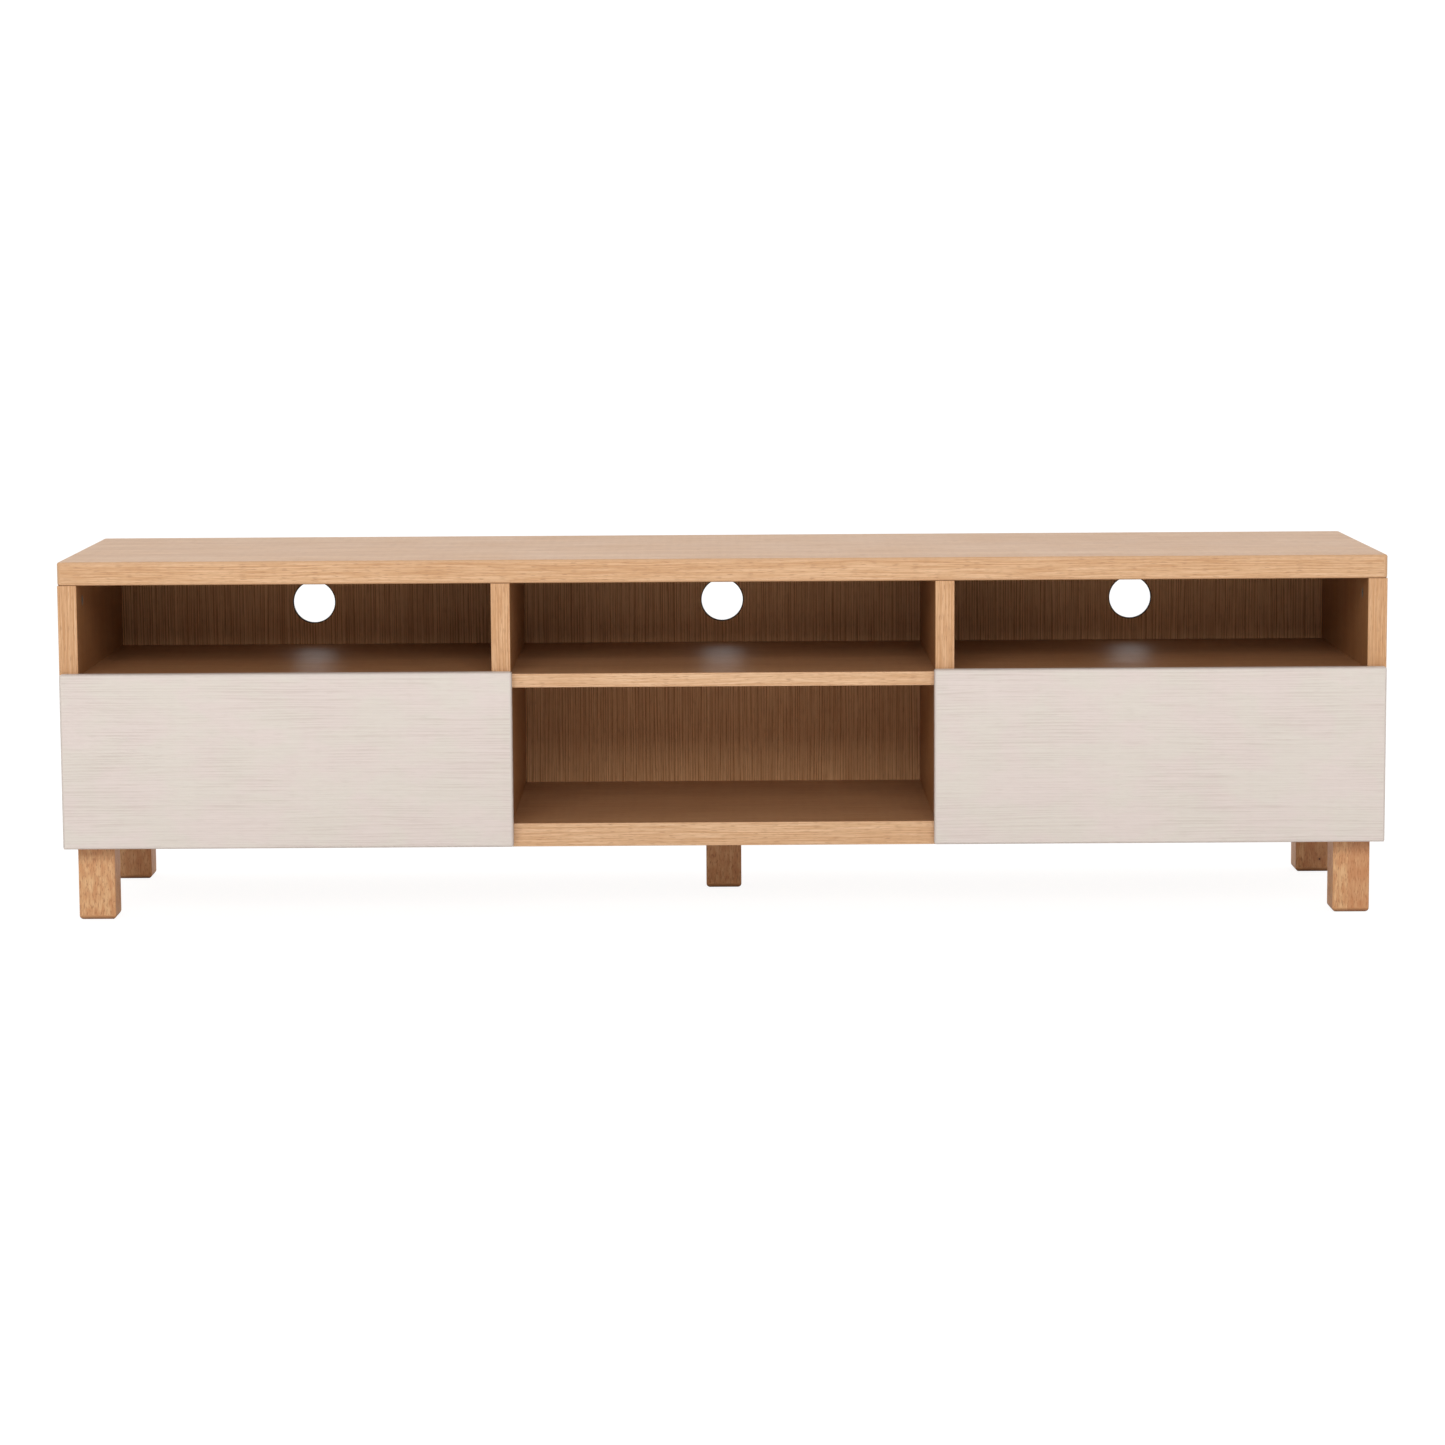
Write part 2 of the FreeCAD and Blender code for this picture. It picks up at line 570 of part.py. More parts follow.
def box_side(label, x_low, bay_side):
    """A side of the drawer box; `bay_side` says on which side of it the drawer's inside lies."""
    body = board(label, (x_low, BOX_Y, "box_bottom"), ("box_board", "box_length", "box_height"))
    inside, outside = leftward_from("box_board"), RIGHTWARD
    if bay_side < 0:
        inside, outside = outside, inside
    floor_groove(body, inside, "box_length")
    corners = [(y, z) for y in BOX_SCREW_Y for z in BOX_SCREW_Z]
    bores(body, "screws", outside, corners, "box_screw_radius + bore_play", "box_board")
    bores(body, "screw_heads", outside, corners, "box_screw_head + bore_play", "box_screw_sink")
    bores(body, "rail_screws", outside, [(f"front_gap + {y}", "rail_rise") for y in DRAWER_SCREW_Y],
          "small_screw_radius + bore_play", "small_screw_grip + bore_end_play")


def box_end(label, side, y, inside):
    """The front or back of the drawer box, held between its sides."""
    body = board(label, (mirrored(side, BOX_X, "box_inner_width"), f"{BOX_Y} + {y}", "box_bottom"),
                 ("box_inner_width", "box_board", "box_height"))
    floor_groove(body, inside, "box_inner_width")
    for tag, face in (("left", RIGHTWARD), ("right", leftward_from("box_inner_width"))):
        bores(body, tag + "_screws", face, [("box_board / 2", z) for z in BOX_SCREW_Z],
              "box_screw_radius + bore_play", "box_screw_grip + bore_end_play")
    return body


def drawer_box(name, side):
    inner = mirrored(side, "divider_outer + rail_gap", "box_board")
    outer = mirrored(side, "side_inner - rail_gap - box_board", "box_board")
    box_side(f"{name}_drawer_inner_side", inner, side)
    box_side(f"{name}_drawer_outer_side", outer, -side)
    front = box_end(f"{name}_drawer_box_front", side, "0", forward_from("box_board"))
    bores(front, "front_screws", BACKWARD, [(x, z) for x in FRONT_SCREW_X for z in FRONT_SCREW_Z],
          "box_screw_radius + bore_play", "box_board")
    box_end(f"{name}_drawer_box_back", side, "box_length - box_board", BACKWARD)
    board(f"{name}_drawer_floor",
          (f"{mirrored(side, BOX_X, 'box_inner_width')} - box_floor_housing",
           f"{BOX_Y} + box_board - box_floor_housing", "box_bottom + box_floor_rise"),
          ("box_inner_width + 2 * box_floor_housing",
           "box_length - 2 * box_board + 2 * box_floor_housing", "box_floor"))


SIDES = (("left", -1), ("right", 1))
for name, side in SIDES:
    drawer_front(f"{name}_drawer_front", side)
    drawer_box(name, side)


# ---------------------------------------------------------------- rails, latches and fasteners
ALONG_X = Rotation()
AGAINST_X = Rotation(Vector(0, 0, 1), 180)
ALONG_Y = Rotation(Vector(0, 0, 1), 90)
AGAINST_Y = Rotation(Vector(0, 0, 1), -90)
ALONG_Z = Rotation(Vector(0, 1, 0), -90)
FROM_Z_TO_X = Rotation(Vector(0, 1, 0), 90)


def along_x(direction):
    return ALONG_X if direction > 0 else AGAINST_X


def block(name, low, size):
    """A box with its low corner at `low`."""
    box = doc.addObject("Part::Box", name)
    for prop, text in zip(("Length", "Width", "Height"), size):
        bind(box, prop, text)
    for axis, text in zip("xyz", low):
        bind(box, f"Placement.Base.{axis}", text)
    return box


def rod(name, start, length, radius, turn=ALONG_X):
    """A round bar from `start`, along X unless it is turned."""
    cylinder = doc.addObject("Part::Cylinder", name)
    cylinder.Placement = Placement(Vector(), turn.multiply(FROM_Z_TO_X))
    bind(cylinder, "Radius", radius)
    bind(cylinder, "Height", length)
    for axis, text in zip("xyz", start):
        bind(cylinder, f"Placement.Base.{axis}", text)
    return cylinder


def fused(name, pieces):
    union = doc.addObject("Part::MultiFuse", name)
    union.Shapes = pieces
    return union


def cut_away(name, base, tools):
    """`base` less the tools, which stay clear of each other."""
    compound = doc.addObject("Part::Compound", name + "_tools")
    compound.Links = tools
    cut = doc.addObject("Part::Cut", name)
    cut.Base = base
    cut.Tool = compound
    return cut


def node(feature, label):
    feature.Label = label
    nodes.append(feature)


def group(label, template, places):
    """Copies of one fastener, the separate solids of one node."""
    copies = []
    for number, (x, y, z, turn) in enumerate(places, start=1):
        copy = doc.addObject("App::Link", f"{label}_{number}")
        copy.LinkedObject = template
        copy.LinkPlacement = Placement(Vector(), turn)
        for axis, text in zip("xyz", (x, y, z)):
            bind(copy, f"LinkPlacement.Base.{axis}", text)
        copies.append(copy)
    compound = doc.addObject("Part::Compound", label)
    compound.Links = copies
    node(compound, label)


def channel(label, web_x, opens, reach, tall, screw_y):
    """One member of a rail: a channel with its web at `web_x`, open towards `opens`."""
    low_x = web_x if opens > 0 else f"{web_x} - {reach}"
    hollow_x = f"{web_x} + rail_sheet" if opens > 0 else low_x
    y = "carcass_front + rail_setback"
    outer = block(label + "_bar", (low_x, y, f"rail_middle - {tall} / 2"),
                  (reach, "rail_length", tall))
    hollow = block(label + "_hollow", (hollow_x, y, f"rail_middle - {tall} / 2 + rail_sheet"),
                   (f"{reach} - rail_sheet", "rail_length", f"{tall} - 2 * rail_sheet"))
    formed = cut_away(label + "_formed" if screw_y else label, outer, [hollow])
    if screw_y:
        holes = [rod(f"{label}_hole{number}", (web_x, f"carcass_front + {at}", "rail_middle"),
                     "rail_sheet", "small_screw_radius + bore_play", along_x(opens))
                 for number, at in enumerate(screw_y, start=1)]
        formed = cut_away(label, formed, holes)
    node(formed, label)


def rail_sides(side):
    """Name, board face and opening direction of the two rails of one drawer."""
    return (("inner", f"{side} * divider_outer", side), ("outer", f"{side} * side_inner", -side))


for name, side in SIDES:
    for place, face_x, opens in rail_sides(side):
        channel(f"{name}_{place}_cabinet_rail", face_x, opens, "rail_reach", "rail_height",
                RAIL_SCREW_Y)
        channel(f"{name}_{place}_middle_rail", f"{face_x} + {opens} * middle_offset", opens,
                "(rail_reach - middle_offset)", "middle_height", ())
        channel(f"{name}_{place}_drawer_rail", f"{face_x} + {opens} * rail_gap", -opens,
                "drawer_rail_reach", "drawer_rail_height", DRAWER_SCREW_Y)

LATCH_Z = "shelf_underside - (latch_height + latch_flange) / 2"


def latch(name, side):
    """Push latch under the deck: a housing with a blind bore, and the plunger in it."""
    middle = f"{side} * latch_middle"
    y = "carcass_front + latch_setback"
    body = block(name + "_latch_body", (f"{middle} - latch_width / 2", y,
                                        "shelf_underside - latch_height"),
                 ("latch_width", "latch_length", "latch_height"))
    flange = block(name + "_latch_flange", (f"{middle} - latch_flange_width / 2", y,
                                            "shelf_underside - latch_flange"),
                   ("latch_flange_width", "latch_length", "latch_flange"))
    bore = rod(name + "_latch_bore", (middle, y, LATCH_Z), "latch_bore_depth", "latch_bore", ALONG_Y)
    holes = [rod(f"{name}_latch_hole{number}",
                 (f"{middle} + {x}", f"carcass_front + {LATCH_SCREW_Y}",
                  "shelf_underside - latch_flange"),
                 "latch_flange", "small_screw_radius + bore_play", ALONG_Z)
             for number, x in enumerate(LATCH_SCREW_X, start=1)]
    solid = fused(name + "_latch_solid", [body, flange])
    node(cut_away(name + "_latch_housing", solid, [bore] + holes), name + "_latch_housing")
    tip_y = "carcass_front - front_gap + plunger_gap"
    tip = rod(name + "_plunger_tip", (middle, tip_y, LATCH_Z), "plunger_tip", "plunger_tip_radius",
              ALONG_Y)
    stem = rod(name + "_plunger_stem", (middle, f"{tip_y} + plunger_tip", LATCH_Z),
               "plunger_length - plunger_tip", "latch_bore - plunger_play", ALONG_Y)
    node(fused(name + "_latch_plunger", [tip, stem]), name + "_latch_plunger")


for name, side in SIDES:
    latch(name, side)


def cam_template():
    """Cam lock: its face at the origin, into the board along Z, its bolt in along X."""
    barrel = rod("cam_barrel", ("0", "0", "cam_play"), "cam_depth - 2 * cam_play",
                 "cam_radius - cam_play", ALONG_Z)
    wide = "2 * (bolt_radius + cam_slot_play)"
    slot = block("cam_slot", (f"-{wide} / 2", f"-{wide} / 2", f"cam_axis - {wide} / 2"),
                 (f"cam_radius + {wide} / 2", wide, wide))
    cross = [block("cam_cross_x", ("-cross_length / 2", "-cross_width / 2", "0"),
                   ("cross_length", "cross_width", "cross_depth")),
             block("cam_cross_y", ("-cross_width / 2", "-cross_length / 2", "0"),
                   ("cross_width", "cross_length", "cross_depth"))]
    return cut_away("cam_lock", barrel, [slot, fused("cam_cross", cross)])


def bolt_template():
    """Cam bolt along X, its head in the cam at the origin."""
    head = rod("bolt_head", ("-bolt_head_length / 2", "0", "0"), "bolt_head_length",
               "bolt_radius - cam_slot_play")
    neck = rod("bolt_neck", ("bolt_head_length / 2", "0", "0"), "bolt_neck_length",
               "bolt_neck_radius")
    shank = rod("bolt_shank", ("bolt_head_length / 2 + bolt_neck_length", "0", "0"),
                "cam_edge - bolt_head_length / 2 - bolt_neck_length", "bolt_radius")
    thread = rod("bolt_thread_end", ("cam_edge", "0", "0"), "bolt_thread", "bolt_thread_radius")
    return fused("cam_bolt", [head, neck, shank, thread])


def screw_template(name, radius, length, head_radius, head_length):
    """Screw along X, the underside of its head at the origin."""
    head = rod(name + "_head", (f"-{head_length}", "0", "0"), head_length, head_radius)
    return fused(name, [head, rod(name + "_shank", ("0", "0", "0"), length, radius)])


def axes(cam_inward, bolt_way):
    """Turn that sends Z to `cam_inward` and X to `bolt_way`."""
    return Rotation(bolt_way, cam_inward.cross(bolt_way), cam_inward, "ZXY")


def cam_places():
    """Middle of every cam's face, and its turn."""
    places = []
    up = Vector(0, 0, 1)
    for side in (-1, 1):
        outward = Vector(side, 0, 0)
        for y in BOLT_Y:
            z = "carcass_top - cam_edge"
            places.append((f"{side} * side_inner", f"carcass_front + {y}", z, axes(outward, up)))
            places.append((f"{side} * divider_outer", f"carcass_front + {y}", z,
                           axes(-outward, up)))
            places.append((f"{side} * (divider_inner - cam_edge)", f"carcass_front + {y}",
                           "shelf_underside", axes(up, outward)))
        for y in BOTTOM_BOLT_Y:
            places.append((f"{side} * (side_inner - cam_edge)", f"carcass_front + {y}",
                           "leg_height", axes(up, outward)))
        for y in DECK_BOLT_Y:
            places.append((f"{side} * (side_inner - cam_edge)", f"carcass_front + {y}",
                           "shelf_underside", axes(up, outward)))
            places.append((f"{side} * (divider_outer + cam_edge)", f"carcass_front + {y}",
                           "shelf_underside", axes(up, -outward)))
    return places


def bolt_places():
    """Each bolt lies `cam_axis` inside the face of its cam."""
    places = []
    for x, y, z, turn in cam_places():
        inward = turn.multVec(Vector(0, 0, 1))
        along_the_width = f"{x} + {round(inward.x)} * cam_axis"
        places.append((along_the_width, y, f"{z} + {round(inward.z)} * cam_axis", turn))
    return places


def dowel_places():
    """Middle of each joint that a dowel crosses; the shallow end lies along the turn."""
    places = []
    down = Rotation(Vector(0, 1, 0), 90)
    for side in (-1, 1):
        for x in ("side_inner", "divider_inner"):
            middle = f"{side} * ({x} + upright_thickness / 2)"
            places += [(middle, f"carcass_front + {y}", "carcass_top", ALONG_Z) for y in DOWEL_Y]
        places += [(f"{side} * (divider_inner + upright_thickness / 2)", f"carcass_front + {y}",
                    "bottom_top", down) for y in DOWEL_Y]
        places += [(f"{side} * side_inner", f"carcass_front + {y}",
                    "leg_height + bottom_thickness / 2", along_x(side)) for y in BOTTOM_DOWEL_Y]
        places += [(f"{side} * divider_inner", f"carcass_front + {y}",
                    "shelf_underside + shelf_thickness / 2", along_x(side)) for y in DOWEL_Y]
        for x, way in (("side_inner", side), ("divider_outer", -side)):
            places += [(f"{side} * {x}", f"carcass_front + {y}",
                        "shelf_underside + shelf_thickness / 2", along_x(way))
                       for y in DECK_DOWEL_Y]
    places += [(leg_dowel_x(side), f"carcass_front + {y}", "leg_height", ALONG_Z)
               for label, side, y in LEGS]
    return places


def leg_fixings():
    """Hanger bolts in the legs, and the threaded inserts that they screw into."""
    at_legs = [(leg_x(side), f"carcass_front + {y}", "leg_height", ALONG_Z)
               for label, side, y in LEGS]
    bolt = fused("hanger_bolt", [
        rod("wood_thread", ("-leg_bolt_grip", "0", "0"), "leg_bolt_grip", "leg_bolt_core"),
        rod("machine_thread", ("0", "0", "0"), "insert_length", "leg_bolt_radius")])
    insert = cut_away("threaded_insert", rod("insert_barrel", ("0", "0", "0"), "insert_length",
                                             "insert_radius"),
                      [rod("insert_bore", ("0", "0", "0"), "insert_length",
                           "leg_bolt_radius + insert_clearance")])
    group("leg_bolts", bolt, at_legs)
    group("leg_inserts", insert, at_legs)


def rail_screw_places(sides):
    return [(f"{face_x} + {opens} * rail_sheet", f"carcass_front + {y}", "rail_middle",
             along_x(-opens))
            for side in sides for place, face_x, opens in rail_sides(side) for y in RAIL_SCREW_Y]


def drawer_screws(name, side, small_screw, box_screw, front_screw):
    """The screws of one drawer: its rails, its box and its front."""
    group(f"{name}_drawer_rail_screws", small_screw,
          [(f"{face_x} + {opens} * (rail_gap - rail_sheet)", f"carcass_front + {y}", "rail_middle",
            along_x(opens)) for place, face_x, opens in rail_sides(side) for y in DRAWER_SCREW_Y])
    group(f"{name}_drawer_box_screws", box_screw,
          [(f"{face_x} + {opens} * (rail_gap + box_screw_sink)", f"{BOX_Y} + {y}",
            f"box_bottom + {z}", along_x(opens))
           for place, face_x, opens in rail_sides(side) for y in BOX_SCREW_Y for z in BOX_SCREW_Z])
    group(f"{name}_drawer_front_screws", front_screw,
          [(f"{mirrored(side, BOX_X, 'box_inner_width')} + {x}", f"{BOX_Y} + box_board",
            f"box_bottom + {z}", AGAINST_Y) for x in FRONT_SCREW_X for z in FRONT_SCREW_Z])


group("cam_locks", cam_template(), cam_places())
group("cam_bolts", bolt_template(), bolt_places())
dowel = fused("dowel", [rod("dowel_deep_end", ("-dowel_deep", "0", "0"), "dowel_deep", "dowel_radius"),
                        rod("dowel_shallow_end", ("0", "0", "0"), "dowel_shallow", "dowel_radius")])
group("dowels", dowel, dowel_places())
leg_fixings()
divider_screw = screw_template("divider_screw", "divider_screw_radius",
                               "bottom_thickness - divider_screw_sink + divider_screw_grip",
                               "divider_screw_head", "divider_screw_sink")
group("divider_screws", divider_screw,
      [(f"{side} * (divider_inner + upright_thickness / 2)", f"carcass_front + {y}",
        "leg_height + divider_screw_sink", ALONG_Z) for side in (-1, 1) for y in BOLT_Y])
small_screw = screw_template("small_screw", "small_screw_radius", "rail_sheet + small_screw_grip",
                             "small_screw_head", "small_screw_sink")
latch_screw_places = [(f"{side} * latch_middle + {x}", f"carcass_front + {LATCH_SCREW_Y}",
                       "shelf_underside - latch_flange", ALONG_Z)
                      for side in (-1, 1) for x in LATCH_SCREW_X]
group("cabinet_screws", small_screw, rail_screw_places((-1, 1)) + latch_screw_places)
box_screw = screw_template("box_screw", "box_screw_radius",
                           "box_board - box_screw_sink + box_screw_grip",
                           "box_screw_head", "box_screw_sink")
front_screw = screw_template("front_screw", "box_screw_radius", "box_board + front_screw_grip",
                             "box_screw_head", "box_screw_sink")
for name, side in SIDES:
    drawer_screws(name, side, small_screw, box_screw, front_screw)


# ---------------------------------------------------------------- check and write
LEAST_CUT = 0.1     # cubic millimetres

doc.recompute()
for feature in doc.Objects:
    if "Invalid" in feature.State or "Error" in feature.State:
        raise RuntimeError(f"{feature.Name} failed: {feature.State}")
for cut in cuts:
    if cut.Shape.Volume > cut.BaseFeature.Shape.Volume - LEAST_CUT:
        raise RuntimeError(f"{cut.Name} cuts nothing")
for piece in nodes:
    if piece.Shape.isNull() or not piece.Shape.isValid() or not piece.Shape.Solids:
        raise RuntimeError(f"{piece.Label} has no valid solid")

os.makedirs("parts", exist_ok=True)
for piece in nodes:
    piece.Shape.exportStep(f"parts/{piece.Label}.step")
print(len(nodes), "nodes,", sum(len(piece.Shape.Solids) for piece in nodes), "solids")
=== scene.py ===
# %% [markdown]
# # A long oak media cabinet with two limewashed drawers
#
# The shape of every board, leg, rail and screw is already settled by the joiner's drawing, which
# loads here as a fixed frame, in metres, with the origin on the floor in the middle of the
# footprint. This lesson gives each piece its finish: oak veneer that runs the right way on every
# board, combed limewash on the drawer fronts, oiled legs, birch plywood drawers and metal fittings.
#
# Everything is made from shader nodes and nothing is painted by hand. The figure of the wood
# is worked out in the piece's own coordinates and travels with it when a drawer opens.

# %% Load the frame
import math
import random

import bpy
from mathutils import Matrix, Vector


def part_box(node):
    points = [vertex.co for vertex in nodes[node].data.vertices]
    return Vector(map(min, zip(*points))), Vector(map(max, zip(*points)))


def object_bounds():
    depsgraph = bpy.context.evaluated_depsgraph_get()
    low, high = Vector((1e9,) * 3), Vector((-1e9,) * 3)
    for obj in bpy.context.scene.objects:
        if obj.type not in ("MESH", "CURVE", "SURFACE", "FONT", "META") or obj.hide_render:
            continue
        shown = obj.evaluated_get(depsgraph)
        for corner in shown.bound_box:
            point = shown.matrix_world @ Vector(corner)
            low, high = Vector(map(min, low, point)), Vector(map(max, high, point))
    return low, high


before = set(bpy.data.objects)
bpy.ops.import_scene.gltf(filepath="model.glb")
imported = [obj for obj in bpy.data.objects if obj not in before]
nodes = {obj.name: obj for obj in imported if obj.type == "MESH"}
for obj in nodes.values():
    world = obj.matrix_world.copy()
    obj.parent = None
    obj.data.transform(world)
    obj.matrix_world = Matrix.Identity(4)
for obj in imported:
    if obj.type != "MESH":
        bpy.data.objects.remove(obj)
drawn_low, drawn_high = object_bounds()
MM = 0.001

# %% [markdown]
# ## The camera
#
# A long, low piece of furniture is best seen from far away through a long lens, so that its front
# stays nearly square and its two ends look alike. A camera a little under a metre from the floor,
# five and a half metres away and tipped seven degrees down, just shows the top. A tilt of a third
# of a degree lifts the right end a little. The three axes are built one by one, which is easier to
# follow than a chain of rotations: forward from the tip and turn, then right and up, then the
# small tilt.

# %% Camera
EYE = Vector((-0.007, drawn_low.y - 5.394, 0.932))
TIP_DOWN, TURN, TILT = 0.1219, 0.0011, 0.0059       # radians
LENS, SENSOR = 100.05, 36.0                         # millimetres

level_forward = Vector((math.sin(TURN), math.cos(TURN), 0))
level_right = Vector((math.cos(TURN), -math.sin(TURN), 0))
straight_up = Vector((0, 0, 1))
forward = level_forward * math.cos(TIP_DOWN) - straight_up * math.sin(TIP_DOWN)
view_up = level_forward * math.sin(TIP_DOWN) + straight_up * math.cos(TIP_DOWN)
right = level_right * math.cos(TILT) - view_up * math.sin(TILT)
up = level_right * math.sin(TILT) + view_up * math.cos(TILT)

lens = bpy.data.cameras.new("studio_camera")
lens.lens = LENS
lens.sensor_width = SENSOR
camera = bpy.data.objects.new("studio_camera", lens)
bpy.context.collection.objects.link(camera)
for column, axis in enumerate((right, up, -forward)):
    for row in range(3):
        camera.matrix_world[row][column] = axis[row]
camera.matrix_world.translation = EYE
bpy.context.scene.camera = camera
bpy.context.scene.view_settings.view_transform = "Standard"
print("camera at", tuple(round(value, 3) for value in EYE), "lens", LENS, "mm")

# %% [markdown]
# ## Helpers for building node trees
#
# A shader tree is easier to read when each node is one line. `put` adds a node and fills its
# inputs, from numbers or from the outputs of other nodes. `maths` and `vector_maths` do the same
# for the two arithmetic nodes, and `blend` for a mix of two colours. `own` reads a property of the
# object itself, which is how one material can treat each board differently.

# %% Node helpers
def fill(tree, node, inputs):
    """Give each named or numbered input a value, or a link when the value is another output."""
    for key, value in inputs.items():
        if isinstance(value, bpy.types.NodeSocket):
            tree.links.new(value, node.inputs[key])
        else:
            node.inputs[key].default_value = value


def put(tree, kind, inputs=None, **settings):
    """Add a node, set its options, then fill its inputs."""
    node = tree.nodes.new("ShaderNode" + kind)
    for name, value in settings.items():
        setattr(node, name, value)
    fill(tree, node, inputs or {})
    return node


def maths(tree, operation, *values, clamp=False):
    node = put(tree, "Math", dict(enumerate(values)), operation=operation, use_clamp=clamp)
    return node.outputs[0]


def vector_maths(tree, operation, *values):
    node = put(tree, "VectorMath", dict(enumerate(values)), operation=operation)
    gives_number = operation in ("DOT_PRODUCT", "LENGTH", "DISTANCE")
    return node.outputs["Value" if gives_number else "Vector"]


def spread(tree, value, low, high, to_low=0.0, to_high=1.0, smooth=True):
    """Stretch a value from the range low..high to the range to_low..to_high, and stop there."""
    kind = "SMOOTHSTEP" if smooth else "LINEAR"
    return put(tree, "MapRange", {"Value": value, "From Min": low, "From Max": high,
                                  "To Min": to_low, "To Max": to_high},
               interpolation_type=kind).outputs[0]


def blend(tree, share, first, second, kind="MIX"):
    """Mix two colours; share 0 gives the first and share 1 the second."""
    node = put(tree, "Mix", {0: share, 6: first, 7: second}, data_type="RGBA", blend_type=kind)
    return node.outputs[2]


def linear(red, green, blue):
    """A colour as a paint chart gives it, 0 to 255, in the linear light that shaders add up."""
    def decode(value):
        share = value / 255
        return share / 12.92 if share <= 0.04045 else ((share + 0.055) / 1.055) ** 2.4
    return (decode(red), decode(green), decode(blue), 1.0)


def new_group(name, inputs, outputs):
    """An empty shader group with named sockets; returns it with its inner start and end."""
    group = bpy.data.node_groups.new(name, "ShaderNodeTree")
    for label, kind, value in inputs:
        socket = group.interface.new_socket(label, in_out="INPUT", socket_type="NodeSocket" + kind)
        socket.default_value = value
    for label, kind in outputs:
        group.interface.new_socket(label, in_out="OUTPUT", socket_type="NodeSocket" + kind)
    start = group.nodes.new("NodeGroupInput")
    end = group.nodes.new("NodeGroupOutput")
    return group, start.outputs, end.inputs


def use_group(tree, group, inputs=None):
    """Place a group in a tree; returns its outputs."""
    return put(tree, "Group", inputs, node_tree=group).outputs


def own(tree, label, output="Vector"):
    """A property of the object that wears the material."""
    return put(tree, "Attribute", attribute_type="OBJECT", attribute_name=label).outputs[output]


# %% [markdown]
# ## The studio
#
# Catalogue furniture stands in a tent of white light with one big softbox. How deep light falls
# into an open bay tells where the softbox hangs: here the front third of each shelf is lit and
# the foot of the lower back panel catches a little, so the box spans about 17 to 38 degrees
# above the horizon. Walls that face left are a little brighter than walls that face right, so it
# stands a step to the left. The tent fills the rest at less than half that strength, a brighter
# backdrop behind the piece puts the sheen on its top, and a pale floor returns light from below.
#
# The floor is a plain disc, large enough to have no edge in view. It reflects like pale card, but
# looks nearly white to the camera, the way an overexposed backdrop does, with only a trace of
# shadow left to stand on.

# %% Floor, world and lamp
TENT, BACKDROP = 0.47, 1.0      # brightness of the white in front, and of the white behind
BACKDROP_STARTS, BACKDROP_FULL = -0.1, 0.35     # how far behind the piece, as a share of the way
SEEN_WHITE = 1.05               # the tent as the camera sees it, just past full white
FLOOR_RADIUS, FLOOR_CORNERS = 40.0, 64
FLOOR_CARD, FLOOR_TRACE, FLOOR_GLOW = 0.9, 0.18, 0.92
KEY_DISTANCE, KEY_RISE = 5.0, math.radians(27.5)
KEY_SIZE = (4.5, 2.1)
KEY_SHIFT = -0.3                # metres along X from the middle, so a step to the left
KEY_WATTS = 168

floor_mesh = bpy.data.meshes.new("studio_floor")
corners = [math.tau * step / FLOOR_CORNERS for step in range(FLOOR_CORNERS)]
floor_mesh.from_pydata([(FLOOR_RADIUS * math.cos(a), FLOOR_RADIUS * math.sin(a), 0) for a in corners],
                       [], [list(range(FLOOR_CORNERS))])
floor = bpy.data.objects.new("studio_floor", floor_mesh)
bpy.context.collection.objects.link(floor)

floor_paint = bpy.data.materials.new("studio_floor")
floor_paint.use_nodes = True
tree = floor_paint.node_tree
tree.nodes.clear()
seen = put(tree, "LightPath").outputs["Is Camera Ray"]
card = spread(tree, seen, 0.0, 1.0, FLOOR_CARD, FLOOR_TRACE, smooth=False)
card = put(tree, "CombineColor", {0: card, 1: card, 2: card}).outputs[0]
matt = put(tree, "BsdfDiffuse", {"Color": card})
glow = put(tree, "Emission", {"Strength": maths(tree, "MULTIPLY", seen, FLOOR_GLOW)})
both = put(tree, "AddShader", {0: matt.outputs[0], 1: glow.outputs[0]})
put(tree, "OutputMaterial", {"Surface": both.outputs[0]})
floor_mesh.materials.append(floor_paint)

world = bpy.data.worlds.new("white_tent")
world.use_nodes = True
bpy.context.scene.world = world
tree = world.node_tree
tree.nodes.clear()
seen = put(tree, "LightPath").outputs["Is Camera Ray"]
depth = put(tree, "SeparateXYZ", {0: put(tree, "TexCoord").outputs["Generated"]}).outputs[1]
white = spread(tree, depth, BACKDROP_STARTS, BACKDROP_FULL, TENT, BACKDROP)
strength = maths(tree, "MAXIMUM", white, maths(tree, "MULTIPLY", seen, SEEN_WHITE))
tent = put(tree, "Background", {"Color": (1, 1, 1, 1), "Strength": strength})
put(tree, "OutputWorld", {"Surface": tent.outputs[0]})

lamp = bpy.data.lights.new("key_softbox", "AREA")
lamp.shape = "RECTANGLE"
lamp.size, lamp.size_y = KEY_SIZE
lamp.energy = KEY_WATTS
key = bpy.data.objects.new("key_softbox", lamp)
middle = (drawn_low + drawn_high) / 2
key.location = (middle.x + KEY_SHIFT, drawn_low.y - KEY_DISTANCE,
                middle.z + KEY_DISTANCE * math.tan(KEY_RISE))
key.rotation_euler = (middle - key.location).to_track_quat("-Z", "Y").to_euler()
key.visible_camera = False
bpy.context.collection.objects.link(key)
print("softbox at", tuple(round(value, 2) for value in key.location), "tent", TENT)

